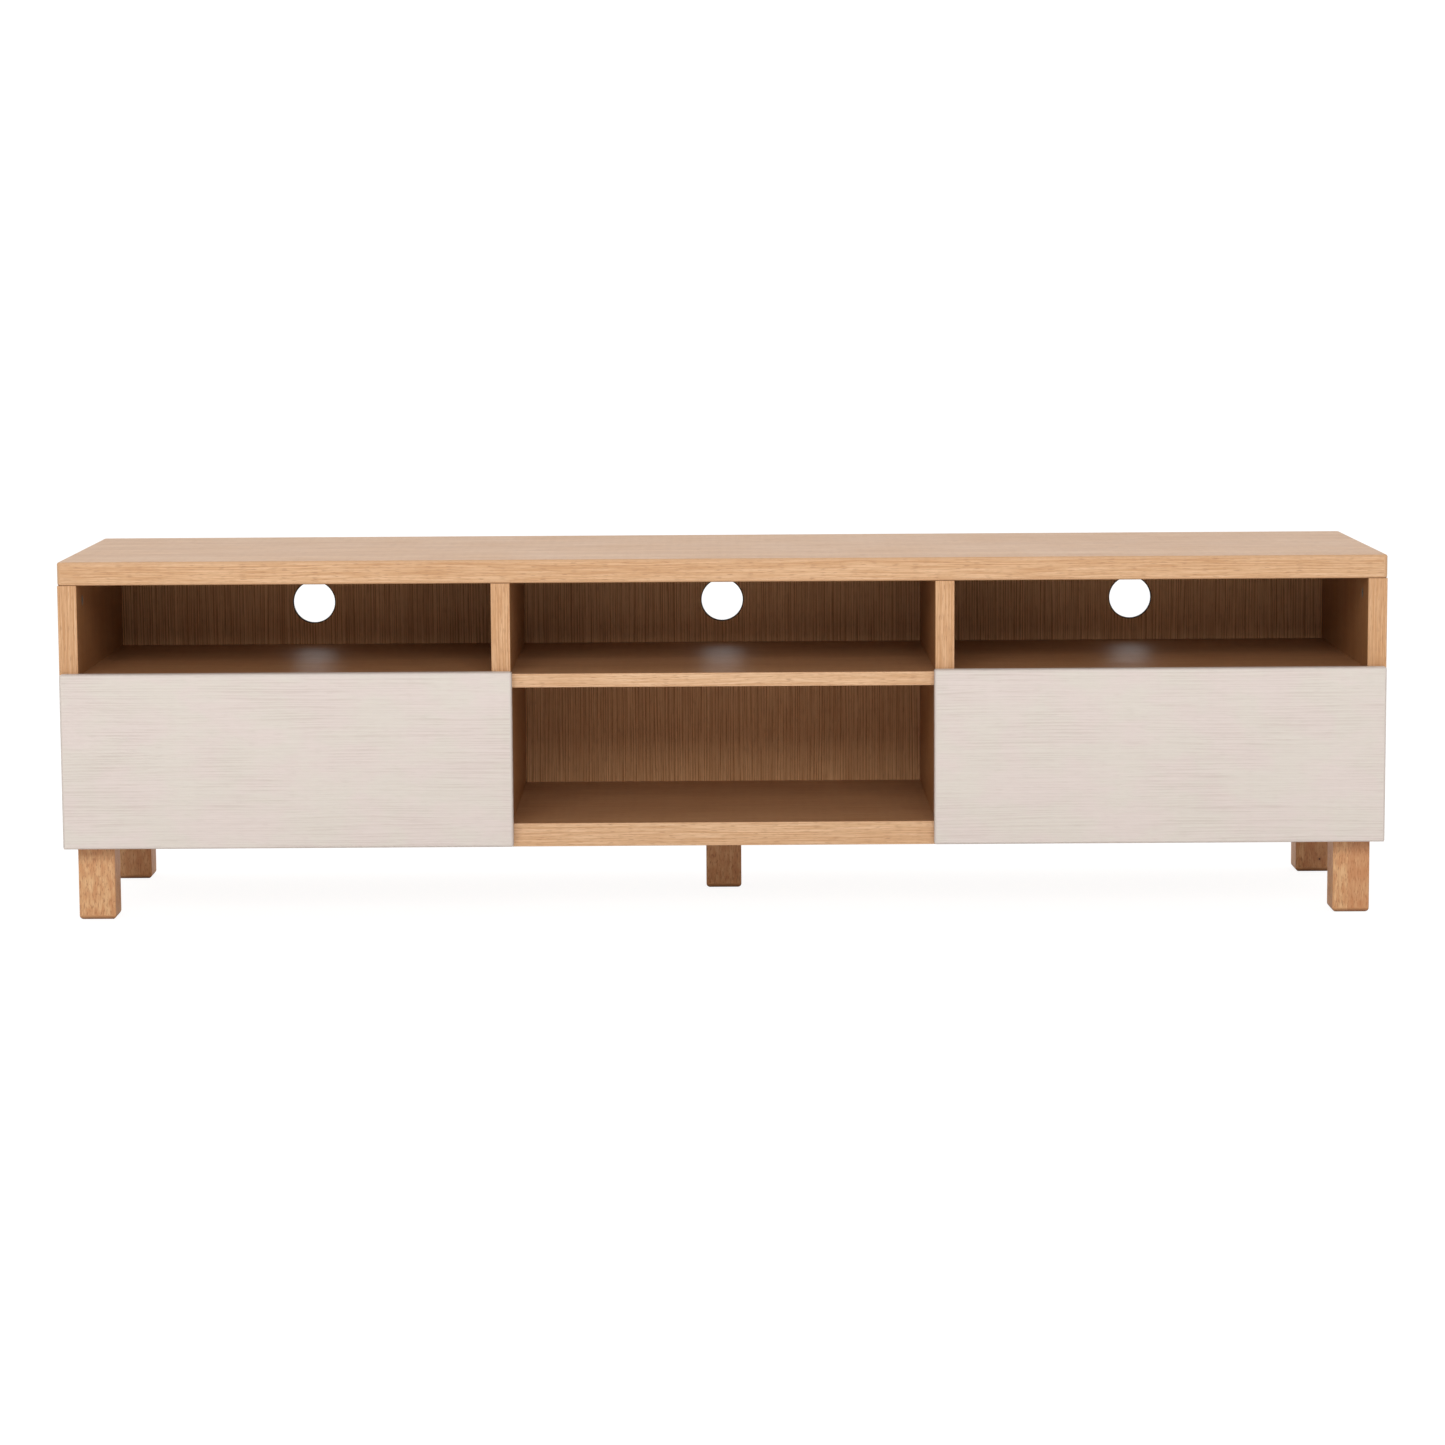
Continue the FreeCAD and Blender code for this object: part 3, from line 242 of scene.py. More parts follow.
# %% [markdown]
# ## Which way the grain runs
#
# A board of veneer has one direction of grain. On its long faces and its banded front edge the
# figure runs along the board; on a short end, where that direction points straight at you, the
# banding runs across instead. This group works out, for any point of any face, how far along the
# grain and how far across it lies, in millimetres. The cross product of the face's direction and
# the grain gives the way across, so one group serves all six faces and the rounded arrises
# between them. Each piece carries an `offset` of its own, as a property of the object, so that
# no two boards show the same stretch of veneer.

# %% Group: grain direction
END_FACE = 0.71                 # cosine of 45 degrees: a face turned further than that is an end

grain_way, start, end = new_group(
    "grain direction",
    [("Grain", "Vector", (1, 0, 0)), ("End banding", "Vector", (0, 1, 0))],
    [("Along", "Float"), ("Across", "Float"), ("Place", "Vector")])
coordinates = put(grain_way, "TexCoord").outputs
facing = vector_maths(grain_way, "DOT_PRODUCT", coordinates["Normal"], start["Grain"])
is_end = maths(grain_way, "GREATER_THAN", maths(grain_way, "ABSOLUTE", facing), END_FACE)
chosen = put(grain_way, "Mix", {0: is_end, 4: start["Grain"], 5: start["End banding"]},
             data_type="VECTOR")
grain_line = chosen.outputs[1]
cross = vector_maths(grain_way, "ABSOLUTE",
                     vector_maths(grain_way, "CROSS_PRODUCT", coordinates["Normal"], grain_line))
offset = own(grain_way, "offset")
point = vector_maths(grain_way, "ADD", coordinates["Object"], offset)
millimetres = vector_maths(grain_way, "MULTIPLY", point, (1 / MM, 1 / MM, 1 / MM))
along = vector_maths(grain_way, "DOT_PRODUCT", millimetres, grain_line)
across = vector_maths(grain_way, "DOT_PRODUCT", millimetres, cross)
grain_way.links.new(along, end["Along"])
grain_way.links.new(across, end["Across"])
grain_way.links.new(put(grain_way, "CombineXYZ", {0: along, 1: across}).outputs[0], end["Place"])
print("grain direction:", len(grain_way.nodes), "nodes")

# %% [markdown]
# ## The figure of wood
#
# Wood shows four things at arm's length: growth lines a few millimetres apart that wander
# slowly, fine streaks of fibre, open pores that look like short dark scratches, and broad bands
# that are a little lighter or darker. A wave texture would repeat too neatly, so the growth
# lines are rings counted across the board after a slow noise has pushed them aside. Each ring
# gets a strength of its own from a white noise, the way some years grow wider than others.
# `Evenness` pulls those strengths together again for wood that was brushed or sliced evenly.

# %% Group: wood figure
WANDER_WIDE, PORE_WIDE = 42.0, 0.8          # millimetres across the grain
CROWD_SIZE, CROWDING = (900.0, 7.0), 1.6    # where rings crowd together, and by how many
BREAK_SIZE, BAND_SIZE = (70.0, 3.0), (620.0, 40.0)      # millimetres along and across
USUAL_YEAR = 0.8                # the strength that an even wood gives every ring


def stretched_noise(tree, place, long, wide, detail=2.0, roughness=0.5):
    """Noise whose grains are `long` along the grain and `wide` across it, in millimetres."""
    size = put(tree, "CombineXYZ", {0: maths(tree, "DIVIDE", 1.0, long),
                                    1: maths(tree, "DIVIDE", 1.0, wide)}).outputs[0]
    return put(tree, "TexNoise", {"Vector": vector_maths(tree, "MULTIPLY", place, size),
                                  "Scale": 1.0, "Detail": detail, "Roughness": roughness},
               noise_dimensions="2D").outputs[0]


wood_figure, start, end = new_group(
    "wood figure",
    [("Place", "Vector", (0, 0, 0)), ("Line spacing", "Float", 4.0), ("Wander", "Float", 6.0),
     ("Wander length", "Float", 260.0), ("Evenness", "Float", 0.0), ("Streak length", "Float", 60.0),
     ("Streak width", "Float", 1.7), ("Pore length", "Float", 14.0)],
    [("Lines", "Float"), ("Streaks", "Float"), ("Pores", "Float"), ("Bands", "Float")])
slow = stretched_noise(wood_figure, start["Place"], start["Wander length"], WANDER_WIDE, 2.0, 0.45)
push = maths(wood_figure, "MULTIPLY", maths(wood_figure, "SUBTRACT", slow, 0.5), start["Wander"])
parts = put(wood_figure, "SeparateXYZ", {0: start["Place"]}).outputs
pushed = maths(wood_figure, "ADD", parts[1], push)
bent = put(wood_figure, "CombineXYZ", {0: parts[0], 1: pushed}).outputs[0]
uneven = stretched_noise(wood_figure, start["Place"], *CROWD_SIZE, 1.0, 0.5)
ring = maths(wood_figure, "ADD", maths(wood_figure, "DIVIDE", pushed, start["Line spacing"]),
             maths(wood_figure, "MULTIPLY", uneven, CROWDING))
ring_part = maths(wood_figure, "FRACT", ring)
year = put(wood_figure, "TexWhiteNoise", {"W": maths(wood_figure, "FLOOR", ring)},
           noise_dimensions="1D").outputs["Value"]
year = maths(wood_figure, "ADD", year, maths(wood_figure, "MULTIPLY", start["Evenness"],
                                             maths(wood_figure, "SUBTRACT", USUAL_YEAR, year)))
line = maths(wood_figure, "MULTIPLY", spread(wood_figure, ring_part, 0.2, 0.8),
             spread(wood_figure, ring_part, 0.84, 1.0, 1.0, 0.0))
broken = spread(wood_figure, stretched_noise(wood_figure, bent, *BREAK_SIZE), 0.30, 0.60, 0.25, 1.0)
wood_figure.links.new(maths(wood_figure, "MULTIPLY", maths(wood_figure, "MULTIPLY", line, year),
                            broken), end["Lines"])
wood_figure.links.new(stretched_noise(wood_figure, bent, start["Streak length"],
                                      start["Streak width"], 3.0, 0.6), end["Streaks"])
pore_grain = stretched_noise(wood_figure, bent, start["Pore length"], PORE_WIDE, 1.0, 0.4)
wood_figure.links.new(spread(wood_figure, pore_grain, 0.60, 0.72), end["Pores"])
wood_figure.links.new(stretched_noise(wood_figure, bent, *BAND_SIZE, 3.0, 0.55), end["Bands"])
print("wood figure:", len(wood_figure.nodes), "nodes")

# %% [markdown]
# ## Handled edges
#
# Hands and dust reach the edges of a board first, and a thin banding takes more stain at its rim,
# so the arrises are a trace darker than the faces. A board is a box, and Generated coordinates
# run from 0 to 1 through that box, so the distance to each pair of faces is known. The second
# smallest of the three distances is small only near an edge. The board's `size` is a property of
# the object.

# %% Group: edge wear
PATCH_SCALE = 22.0              # patches of wear to the metre

edge_wear, start, end = new_group(
    "edge wear", [("Width", "Float", 1.6), ("Patchiness", "Float", 0.6)], [("Edge", "Float")])
coordinates = put(edge_wear, "TexCoord").outputs
size = own(edge_wear, "size")
from_low = vector_maths(edge_wear, "MULTIPLY", coordinates["Generated"], size)
from_high = vector_maths(edge_wear, "SUBTRACT", size, from_low)
nearest = vector_maths(edge_wear, "MINIMUM", from_low, from_high)
gaps = put(edge_wear, "SeparateXYZ", {0: nearest}).outputs
smaller = maths(edge_wear, "MINIMUM", gaps[0], gaps[1])
larger = maths(edge_wear, "MAXIMUM", gaps[0], gaps[1])
second = maths(edge_wear, "MAXIMUM", smaller, maths(edge_wear, "MINIMUM", larger, gaps[2]))
width = maths(edge_wear, "MULTIPLY", start["Width"], MM)
edge = maths(edge_wear, "SUBTRACT", 1.0, maths(edge_wear, "DIVIDE", second, width), clamp=True)
patches = put(edge_wear, "TexNoise", {"Vector": coordinates["Object"], "Scale": PATCH_SCALE,
                                      "Detail": 3.0}).outputs[0]
patches = spread(edge_wear, patches, 0.35, 0.65)
missed = maths(edge_wear, "MULTIPLY", start["Patchiness"],
               maths(edge_wear, "SUBTRACT", 1.0, patches))
kept = maths(edge_wear, "SUBTRACT", 1.0, missed)
edge_wear.links.new(maths(edge_wear, "MULTIPLY", edge, kept), end["Edge"])
print("edge wear:", len(edge_wear.nodes), "nodes")

# %% [markdown]
# ## Handling marks
#
# No lacquered or metal surface is equally glossy all over. A slow noise with a finer one on top
# stands for wiping and touching. It only moves the roughness a little, which shows when light
# grazes the surface.

# %% Group: handling marks
WIPE_SCALE = 9.0                # wipes to the metre

handling, start, end = new_group(
    "handling marks", [("Base roughness", "Float", 0.45), ("Variation", "Float", 0.08)],
    [("Roughness", "Float")])
place = put(handling, "TexCoord").outputs["Object"]
wiped = put(handling, "TexNoise", {"Vector": place, "Scale": WIPE_SCALE, "Detail": 4.0}).outputs[0]
swing = maths(handling, "MULTIPLY", maths(handling, "SUBTRACT", wiped, 0.5), 2.0)
handling.links.new(maths(handling, "ADD", start["Base roughness"],
                         maths(handling, "MULTIPLY", swing, start["Variation"])), end["Roughness"])
print("handling marks:", len(handling.nodes), "nodes")

# %% [markdown]
# ## Painted shade on inner faces, and pin knots
#
# The faces inside the bays are painted a darker, browner colour than the banded edges. This is
# painted shade, standing for the dimness that falls inside the open bays. One board has both, so
# the material has to know which faces look inward. Each object carries two vectors: the axes on
# whose high side its face is an inner one, and the same for the low side. Comparing them with the
# direction of the face gives the mask.
#
# A pin knot is a dark dot of a millimetre or two where a twig grew. Its centre is a property of
# the object too, and a piece without one has its knot far away.

# %% Groups: inner faces, pin knot
NOWHERE = (0.0, 0.0, 0.0)
# Painted shade: this mask picks the faces inside the bays, which the oak recipe darkens.
inner_faces, start, end = new_group("inner faces", [], [("Inner", "Float")])
direction = put(inner_faces, "TexCoord").outputs["Normal"]
sides = []
for label, flip in (("inner_high", 1.0), ("inner_low", -1.0)):
    axes = own(inner_faces, label)
    turned = vector_maths(inner_faces, "MULTIPLY", direction, (flip, flip, flip))
    sides.append(vector_maths(inner_faces, "DOT_PRODUCT",
                              vector_maths(inner_faces, "MAXIMUM", turned, NOWHERE), axes))
inner_faces.links.new(spread(inner_faces, maths(inner_faces, "ADD", *sides), 0.55, 0.9), end["Inner"])

pin_knot, start, end = new_group("pin knot", [("Radius", "Float", 1.6)],
                                 [("Knot", "Float"), ("Halo", "Float")])
centre = own(pin_knot, "knot")
away = vector_maths(pin_knot, "DISTANCE", put(pin_knot, "TexCoord").outputs["Object"], centre)
away = maths(pin_knot, "DIVIDE", maths(pin_knot, "DIVIDE", away, MM), start["Radius"])
pin_knot.links.new(spread(pin_knot, away, 0.6, 1.1, 1.0, 0.0), end["Knot"])
pin_knot.links.new(spread(pin_knot, away, 1.0, 3.2, 1.0, 0.0), end["Halo"])
print("inner faces:", len(inner_faces.nodes), "nodes, pin knot:", len(pin_knot.nodes), "nodes")

# %% [markdown]
# ## Oak veneer
#
# The boards are oak veneer under a satin lacquer. Three colours make it: the pale wood between
# the growth lines, the darker late wood, and the pores. The lacquer keeps a soft sheen, which
# whitens the top where it is seen at a low angle and shows the light of a cable hole on the
# shelf below it. The same recipe with other numbers gives the side panels, whose grain stands
# upright, and the back panels, whose lines are evener and stronger.

# %% Oak recipe
ALONG_X, ALONG_Y, UPRIGHT = (1, 0, 0), (0, 1, 0), (0, 0, 1)
# Painted shade for the faces inside the bays: one colour for shelves, one for upright walls.
SHELF_INNER_SHADE = (0.64, 0.54, 0.46, 1.0)
WALL_INNER_SHADE = (0.60, 0.49, 0.36, 1.0)
KNOT_BROWN = linear(96, 66, 44)
EDGE_SHARE, HALO_SHARE = 0.25, 0.35     # how far an edge and a knot's halo go to the late wood
PORE_DEPTH = 0.05                       # millimetres


def new_material(name):
    material = bpy.data.materials.new(name)
    material.use_nodes = True
    tree = material.node_tree
    tree.nodes.clear()
    shader = put(tree, "BsdfPrincipled")
    put(tree, "OutputMaterial", {"Surface": shader.outputs[0]})
    return material, tree, shader.inputs


def height(tree, shader, relief, depth):
    """Raise the surface by `relief`, 0 to 1, times `depth` millimetres."""
    bump = put(tree, "Bump", {"Height": relief, "Distance": depth * MM, "Strength": 1.0})
    tree.links.new(bump.outputs[0], shader["Normal"])


def oak(name, grain, end_banding, pale, late, pore, spacing=4.2, evenness=0.0, lines=0.55,
        streaks=0.8, streak_length=75.0, pores=0.5, wander=7.0, roughness=0.42, gloss=0.37,
        broad=0.3, inner_shade_colour=SHELF_INNER_SHADE):
    material, tree, shader = new_material(name)
    way = use_group(tree, grain_way, {"Grain": grain, "End banding": end_banding})
    figure = use_group(tree, wood_figure, {"Place": way["Place"], "Line spacing": spacing,
                                           "Wander": wander, "Evenness": evenness,
                                           "Streak length": streak_length})
    bands = spread(tree, figure["Bands"], 0.25, 0.75, 0.0, broad)
    board = own(tree, "board_tone", "Fac")
    fibre = spread(tree, figure["Streaks"], 0.28, 0.72, 0.0, streaks)
    darker = maths(tree, "ADD", maths(tree, "ADD", fibre, bands),
                   maths(tree, "MULTIPLY", figure["Lines"], lines))
    darker = maths(tree, "ADD", darker, board, clamp=True)
    colour = blend(tree, darker, linear(*pale), linear(*late))
    colour = blend(tree, maths(tree, "MULTIPLY", figure["Pores"], pores), colour, linear(*pore))
    edge = use_group(tree, edge_wear, {"Width": 1.6})["Edge"]
    colour = blend(tree, maths(tree, "MULTIPLY", edge, EDGE_SHARE), colour, linear(*late))
    inner = use_group(tree, inner_faces)["Inner"]
    # Painted shade: faces inside the bays are multiplied by a darker, browner colour.
    colour = blend(tree, inner, colour, inner_shade_colour, "MULTIPLY")
    knot = use_group(tree, pin_knot, {"Radius": 1.9})
    colour = blend(tree, maths(tree, "MULTIPLY", knot["Halo"], HALO_SHARE), colour, linear(*late))
    colour = blend(tree, knot["Knot"], colour, KNOT_BROWN)
    tree.links.new(colour, shader["Base Color"])
    tree.links.new(use_group(tree, handling, {"Base roughness": roughness})[0], shader["Roughness"])
    shader["Specular IOR Level"].default_value = gloss
    relief = maths(tree, "ADD", maths(tree, "MULTIPLY", figure["Pores"], -1.0),
                   maths(tree, "MULTIPLY", figure["Lines"], -0.4))
    height(tree, shader, relief, PORE_DEPTH)
    return material, tree, colour, shader


# %% Oak boards
oak_long = oak("oak_veneer_long", ALONG_X, ALONG_Y, (228, 188, 149), (200, 152, 108),
               (160, 112, 74))[0]
oak_upright = oak("oak_veneer_upright", UPRIGHT, ALONG_Y, (226, 183, 142), (198, 147, 101),
                  (160, 112, 74), inner_shade_colour=WALL_INNER_SHADE)[0]
print("oak boards:", oak_long.name, oak_upright.name)

# %% [markdown]
# ## Back panels
#
# A back panel is thin board with oak foil on its face. The cable hole is cut after the foil went
# on, which leaves a dark scorched rim: the wall of the hole, and a millimetre of the face round
# it. The hole's centre is a property of the object. Everything nearer to the hole's axis than the
# rim's radius is dark, which takes in the wall of the hole as well.

# %% Oak backing
HOLE_RIM, RIM_FADE = 31.6, 0.6  # millimetres, just outside the hole's own 30
SCORCHED = linear(52, 46, 44)
oak_backing, tree, colour, shader = oak(
    "oak_backing", UPRIGHT, ALONG_X, (241, 190, 138), (181, 127, 78), (138, 90, 53),
    spacing=4.0, evenness=0.85, lines=0.8, streaks=0.5, streak_length=260.0, pores=0.25, wander=4.0,
    roughness=0.55, gloss=0.25, broad=0.1)
coordinates = put(tree, "TexCoord").outputs
hole = own(tree, "hole")
from_hole = vector_maths(tree, "SUBTRACT", coordinates["Object"], hole)
across_hole = vector_maths(tree, "MULTIPLY", from_hole, (1 / MM, 0.0, 1 / MM))
rim = spread(tree, vector_maths(tree, "LENGTH", across_hole), HOLE_RIM - RIM_FADE, HOLE_RIM, 1.0, 0.0)
tree.links.new(blend(tree, rim, colour, SCORCHED), shader["Base Color"])
print("back panels:", oak_backing.name)

# %% [markdown]
# ## Limewashed drawer fronts
#
# The fronts are oak that was combed with a wire brush and painted with thin lime colour. The
# paint fills the board evenly and stays a little greyer in the combed lines, so the figure shows
# as fine threads four to five millimetres apart, nearly straight. The threads come and go in
# patches a hand wide, and the white drifts between a cooler and a pinker tone. The threads are
# real grooves, and the relief follows them.

# %% Limewash
def limewash(name):
    material, tree, shader = new_material(name)
    way = use_group(tree, grain_way, {"Grain": ALONG_X, "End banding": UPRIGHT})
    figure = use_group(tree, wood_figure, {"Place": way["Place"], "Line spacing": 4.2, "Wander": 9.0,
                                           "Wander length": 420.0, "Evenness": 0.75,
                                           "Streak length": 90.0, "Streak width": 1.5,
                                           "Pore length": 18.0})
    tint = spread(tree, stretched_noise(tree, way["Place"], 70.0, 45.0, 3.0), 0.35, 0.65)
    colour = blend(tree, tint, linear(223, 210, 203), linear(221, 212, 202))
    strong = spread(tree, stretched_noise(tree, way["Place"], 130.0, 75.0, 2.0), 0.35, 0.68, 0.3, 1.0)
    threads = maths(tree, "MULTIPLY", maths(tree, "MULTIPLY", figure["Lines"], strong), 0.55)
    colour = blend(tree, threads, colour, linear(192, 175, 166))
    fibre = spread(tree, figure["Streaks"], 0.3, 0.75, 0.0, 0.2)
    colour = blend(tree, fibre, colour, linear(206, 192, 183))
    colour = blend(tree, maths(tree, "MULTIPLY", figure["Pores"], 0.12), colour, linear(180, 162, 152))
    edge = use_group(tree, edge_wear, {"Width": 2.4})["Edge"]
    colour = blend(tree, maths(tree, "MULTIPLY", edge, 0.4), colour, linear(186, 168, 156))
    tree.links.new(colour, shader["Base Color"])
    tree.links.new(use_group(tree, handling, {"Base roughness": 0.6})[0], shader["Roughness"])
    shader["Specular IOR Level"].default_value = 0.3
    relief = maths(tree, "ADD", maths(tree, "MULTIPLY", figure["Lines"], -1.0),
                   maths(tree, "MULTIPLY", figure["Pores"], -0.4))
    height(tree, shader, relief, 0.1)
    return material


combed_fronts = limewash("combed_limewash")
print("drawer fronts:", combed_fronts.name)

# %% [markdown]
# ## Solid legs
#
# The legs are solid wood of a warmer, redder tone under oil. Close up they show short dark
# flecks, upright like the grain, on a mottled ground. Each leg is glued from two strips, and the
# strips rarely match. `seam` is the place of the glue line across the leg, and `tone` says how
# much darker the second strip is. The rounded foot is painted darker: painted shade where its rounding
# turns down to the floor.

# %% Leg wood
def leg_wood(name):
    material, tree, shader = new_material(name)
    way = use_group(tree, grain_way, {"Grain": UPRIGHT, "End banding": ALONG_X})
    figure = use_group(tree, wood_figure, {"Place": way["Place"], "Line spacing": 3.4, "Wander": 12.0,
                                           "Wander length": 60.0, "Streak length": 26.0,
                                           "Streak width": 2.2, "Pore length": 7.0})
    mottle = stretched_noise(tree, way["Place"], 22.0, 8.0, 3.0)
    colour = blend(tree, spread(tree, mottle, 0.3, 0.7), linear(224, 180, 132), linear(206, 151, 104))
    colour = blend(tree, spread(tree, figure["Streaks"], 0.35, 0.7, 0.0, 0.5), colour,
                   linear(190, 132, 86))
    flecks = spread(tree, stretched_noise(tree, way["Place"], 8.0, 1.7, 2.0), 0.55, 0.68)
    colour = blend(tree, maths(tree, "MULTIPLY", flecks, 0.6), colour, linear(160, 102, 62))
    place = put(tree, "SeparateXYZ", {0: put(tree, "TexCoord").outputs["Object"]}).outputs
    seam = own(tree, "seam", "Fac")
    tone = own(tree, "tone", "Fac")
    second_strip = maths(tree, "MULTIPLY", maths(tree, "GREATER_THAN", place[0], seam), tone)
    colour = blend(tree, second_strip, colour, linear(184, 118, 74))
    # Painted shade: the bottom few millimetres of the leg, where the foot rounds under, are darkened.
    foot_shade = spread(tree, place[2], 2.0 * MM, 6.5 * MM, 0.55, 0.0)
    colour = blend(tree, foot_shade, colour, linear(120, 74, 44))
    edge = use_group(tree, edge_wear, {"Width": 2.0})["Edge"]
    colour = blend(tree, maths(tree, "MULTIPLY", edge, 0.2), colour, linear(176, 120, 76))
    knot = use_group(tree, pin_knot, {"Radius": 1.5})
    colour = blend(tree, maths(tree, "MULTIPLY", knot["Halo"], 0.4), colour, linear(160, 98, 60))
    colour = blend(tree, knot["Knot"], colour, linear(70, 42, 26))
    tree.links.new(colour, shader["Base Color"])
    tree.links.new(use_group(tree, handling, {"Base roughness": 0.42})[0], shader["Roughness"])
    shader["Specular IOR Level"].default_value = 0.45
    relief = maths(tree, "ADD", maths(tree, "MULTIPLY", figure["Pores"], -1.0),
                   maths(tree, "MULTIPLY", flecks, -0.5))
    height(tree, shader, relief, 0.06)
    return material


oiled_legs = leg_wood("oiled_leg_wood")
print("legs:", oiled_legs.name)

# %% [markdown]
# ## Birch drawers
#
# Opened, a drawer shows a box of birch plywood: pale faces with a faint figure, and edges where
# the plies stand on end as thin light and dark lines. The plies are stacked through the board's
# thickness, so the material needs to know which way that is; `Generated` runs through it from 0
# to 1. A ply line is drawn only where the surface doesn't face along the thickness.

# %% Birch plywood
PLIES = 11


def birch(name, grain, thickness_axis):
    material, tree, shader = new_material(name)
    way = use_group(tree, grain_way, {"Grain": grain, "End banding": UPRIGHT})
    figure = use_group(tree, wood_figure, {"Place": way["Place"], "Line spacing": 9.0, "Wander": 22.0,
                                           "Wander length": 180.0, "Pore length": 5.0})
    colour = blend(tree, spread(tree, figure["Streaks"], 0.25, 0.75), linear(232, 208, 172),
                   linear(219, 190, 150))
    colour = blend(tree, maths(tree, "MULTIPLY", figure["Lines"], 0.3), colour, linear(200, 164, 122))
    coordinates = put(tree, "TexCoord").outputs
    depth = put(tree, "SeparateXYZ", {0: coordinates["Generated"]}).outputs[thickness_axis]
    facing = put(tree, "SeparateXYZ", {0: coordinates["Normal"]}).outputs[thickness_axis]
    on_edge = maths(tree, "LESS_THAN", maths(tree, "ABSOLUTE", facing), 0.5)
    odd = maths(tree, "MODULO", maths(tree, "FLOOR", maths(tree, "MULTIPLY", depth, float(PLIES))), 2.0)
    grainy = spread(tree, stretched_noise(tree, way["Place"], 6.0, 0.5, 2.0), 0.3, 0.7, 0.6, 1.0)
    ply = maths(tree, "MULTIPLY", maths(tree, "MULTIPLY", odd, on_edge), grainy)
    colour = blend(tree, maths(tree, "MULTIPLY", ply, 0.75), colour, linear(166, 122, 80))
    tree.links.new(colour, shader["Base Color"])
    tree.links.new(use_group(tree, handling, {"Base roughness": 0.5})[0], shader["Roughness"])
    shader["Specular IOR Level"].default_value = 0.35
    height(tree, shader, maths(tree, "MULTIPLY", maths(tree, "ADD", ply, figure["Pores"]), -1.0), 0.05)
    return material


birch_sides = birch("birch_sides", ALONG_Y, 0)
birch_ends = birch("birch_ends", ALONG_X, 1)

# %% [markdown]
# ## Drawer floors and dowels
#
# A drawer floor is thin hardboard with a pale printed face, which shows a fine pressed fibre. The
# dowels are beech: reddish, with tiny dark flecks, ribbed lengthwise for the glue.

# %% Hardboard and beech
def hardboard(name):
    material, tree, shader = new_material(name)
    place = put(tree, "TexCoord").outputs["Object"]
    fibre = put(tree, "TexNoise", {"Vector": place, "Scale": 900.0, "Detail": 3.0}).outputs[0]
    cloud = put(tree, "TexNoise", {"Vector": place, "Scale": 14.0, "Detail": 4.0}).outputs[0]
    colour = blend(tree, spread(tree, cloud, 0.3, 0.7), linear(228, 214, 190), linear(220, 204, 178))
    colour = blend(tree, spread(tree, fibre, 0.5, 0.8, 0.0, 0.3), colour, linear(190, 168, 136))
    tree.links.new(colour, shader["Base Color"])
    tree.links.new(use_group(tree, handling, {"Base roughness": 0.42})[0], shader["Roughness"])
    height(tree, shader, fibre, 0.02)
    return material


def beech(name):
    material, tree, shader = new_material(name)
    way = use_group(tree, grain_way, {"Grain": ALONG_X, "End banding": UPRIGHT})
    flecks = stretched_noise(tree, way["Place"], 3.0, 0.6, 2.0)
    colour = blend(tree, spread(tree, flecks, 0.5, 0.75), linear(222, 182, 138), linear(182, 132, 88))
    tree.links.new(colour, shader["Base Color"])
    tree.links.new(use_group(tree, handling, {"Base roughness": 0.65})[0], shader["Roughness"])
    height(tree, shader, flecks, 0.04)
    return material


printed_hardboard = hardboard("printed_hardboard")
ribbed_beech = beech("ribbed_beech")

# %% [markdown]
# ## Metal
#
# The rails and screws are steel under thin zinc, the cams are cast zinc, and the threaded inserts
# in the bottom board are brass. Rolled rail steel has fine lines along
# its length and a bluish tone; a cast cam is greyer, softer and slightly pitted. One recipe with
# two noises serves them: a drawn-out one for rolling lines, and a round one for pits and spangle.

# %% Metal recipe
def metal(name, bright, dull, roughness, drawn=ALONG_Y, pits=0.0):
    material, tree, shader = new_material(name)
    way = use_group(tree, grain_way, {"Grain": drawn, "End banding": ALONG_X})
    lines = stretched_noise(tree, way["Place"], 60.0, 0.4, 2.0)
    place = put(tree, "TexCoord").outputs["Object"]
    spots = put(tree, "TexNoise", {"Vector": place, "Scale": 420.0, "Detail": 3.0}).outputs[0]
    cloud = put(tree, "TexNoise", {"Vector": place, "Scale": 45.0, "Detail": 4.0}).outputs[0]
    share = maths(tree, "ADD", spread(tree, lines, 0.35, 0.65, 0.0, 0.45),
                  spread(tree, cloud, 0.35, 0.65, 0.0, 0.55))
    tree.links.new(blend(tree, share, linear(*bright), linear(*dull)), shader["Base Color"])
    shader["Metallic"].default_value = 1.0
    tree.links.new(use_group(tree, handling, {"Base roughness": roughness, "Variation": 0.12})[0],
                   shader["Roughness"])
    pitted = maths(tree, "MULTIPLY", spread(tree, spots, 0.55, 0.7), -pits)
    height(tree, shader, maths(tree, "ADD", maths(tree, "MULTIPLY", lines, 0.3), pitted), 0.02)
    return material


rolled_zinc = metal("rolled_zinc", (196, 202, 208), (160, 167, 176), 0.34)
plated_screws = metal("plated_screws", (206, 208, 208), (172, 174, 176), 0.3, ALONG_X)
cast_zinc = metal("cast_zinc", (176, 176, 174), (138, 138, 138), 0.48, ALONG_X, 1.0)
turned_brass = metal("turned_brass", (222, 192, 120), (188, 154, 84), 0.36, UPRIGHT)

# %% [markdown]
# ## Moulded plastic
#
# The push latches are moulded in grey plastic with a fine spark-eroded texture, and the plungers
# are white with a softer tip.

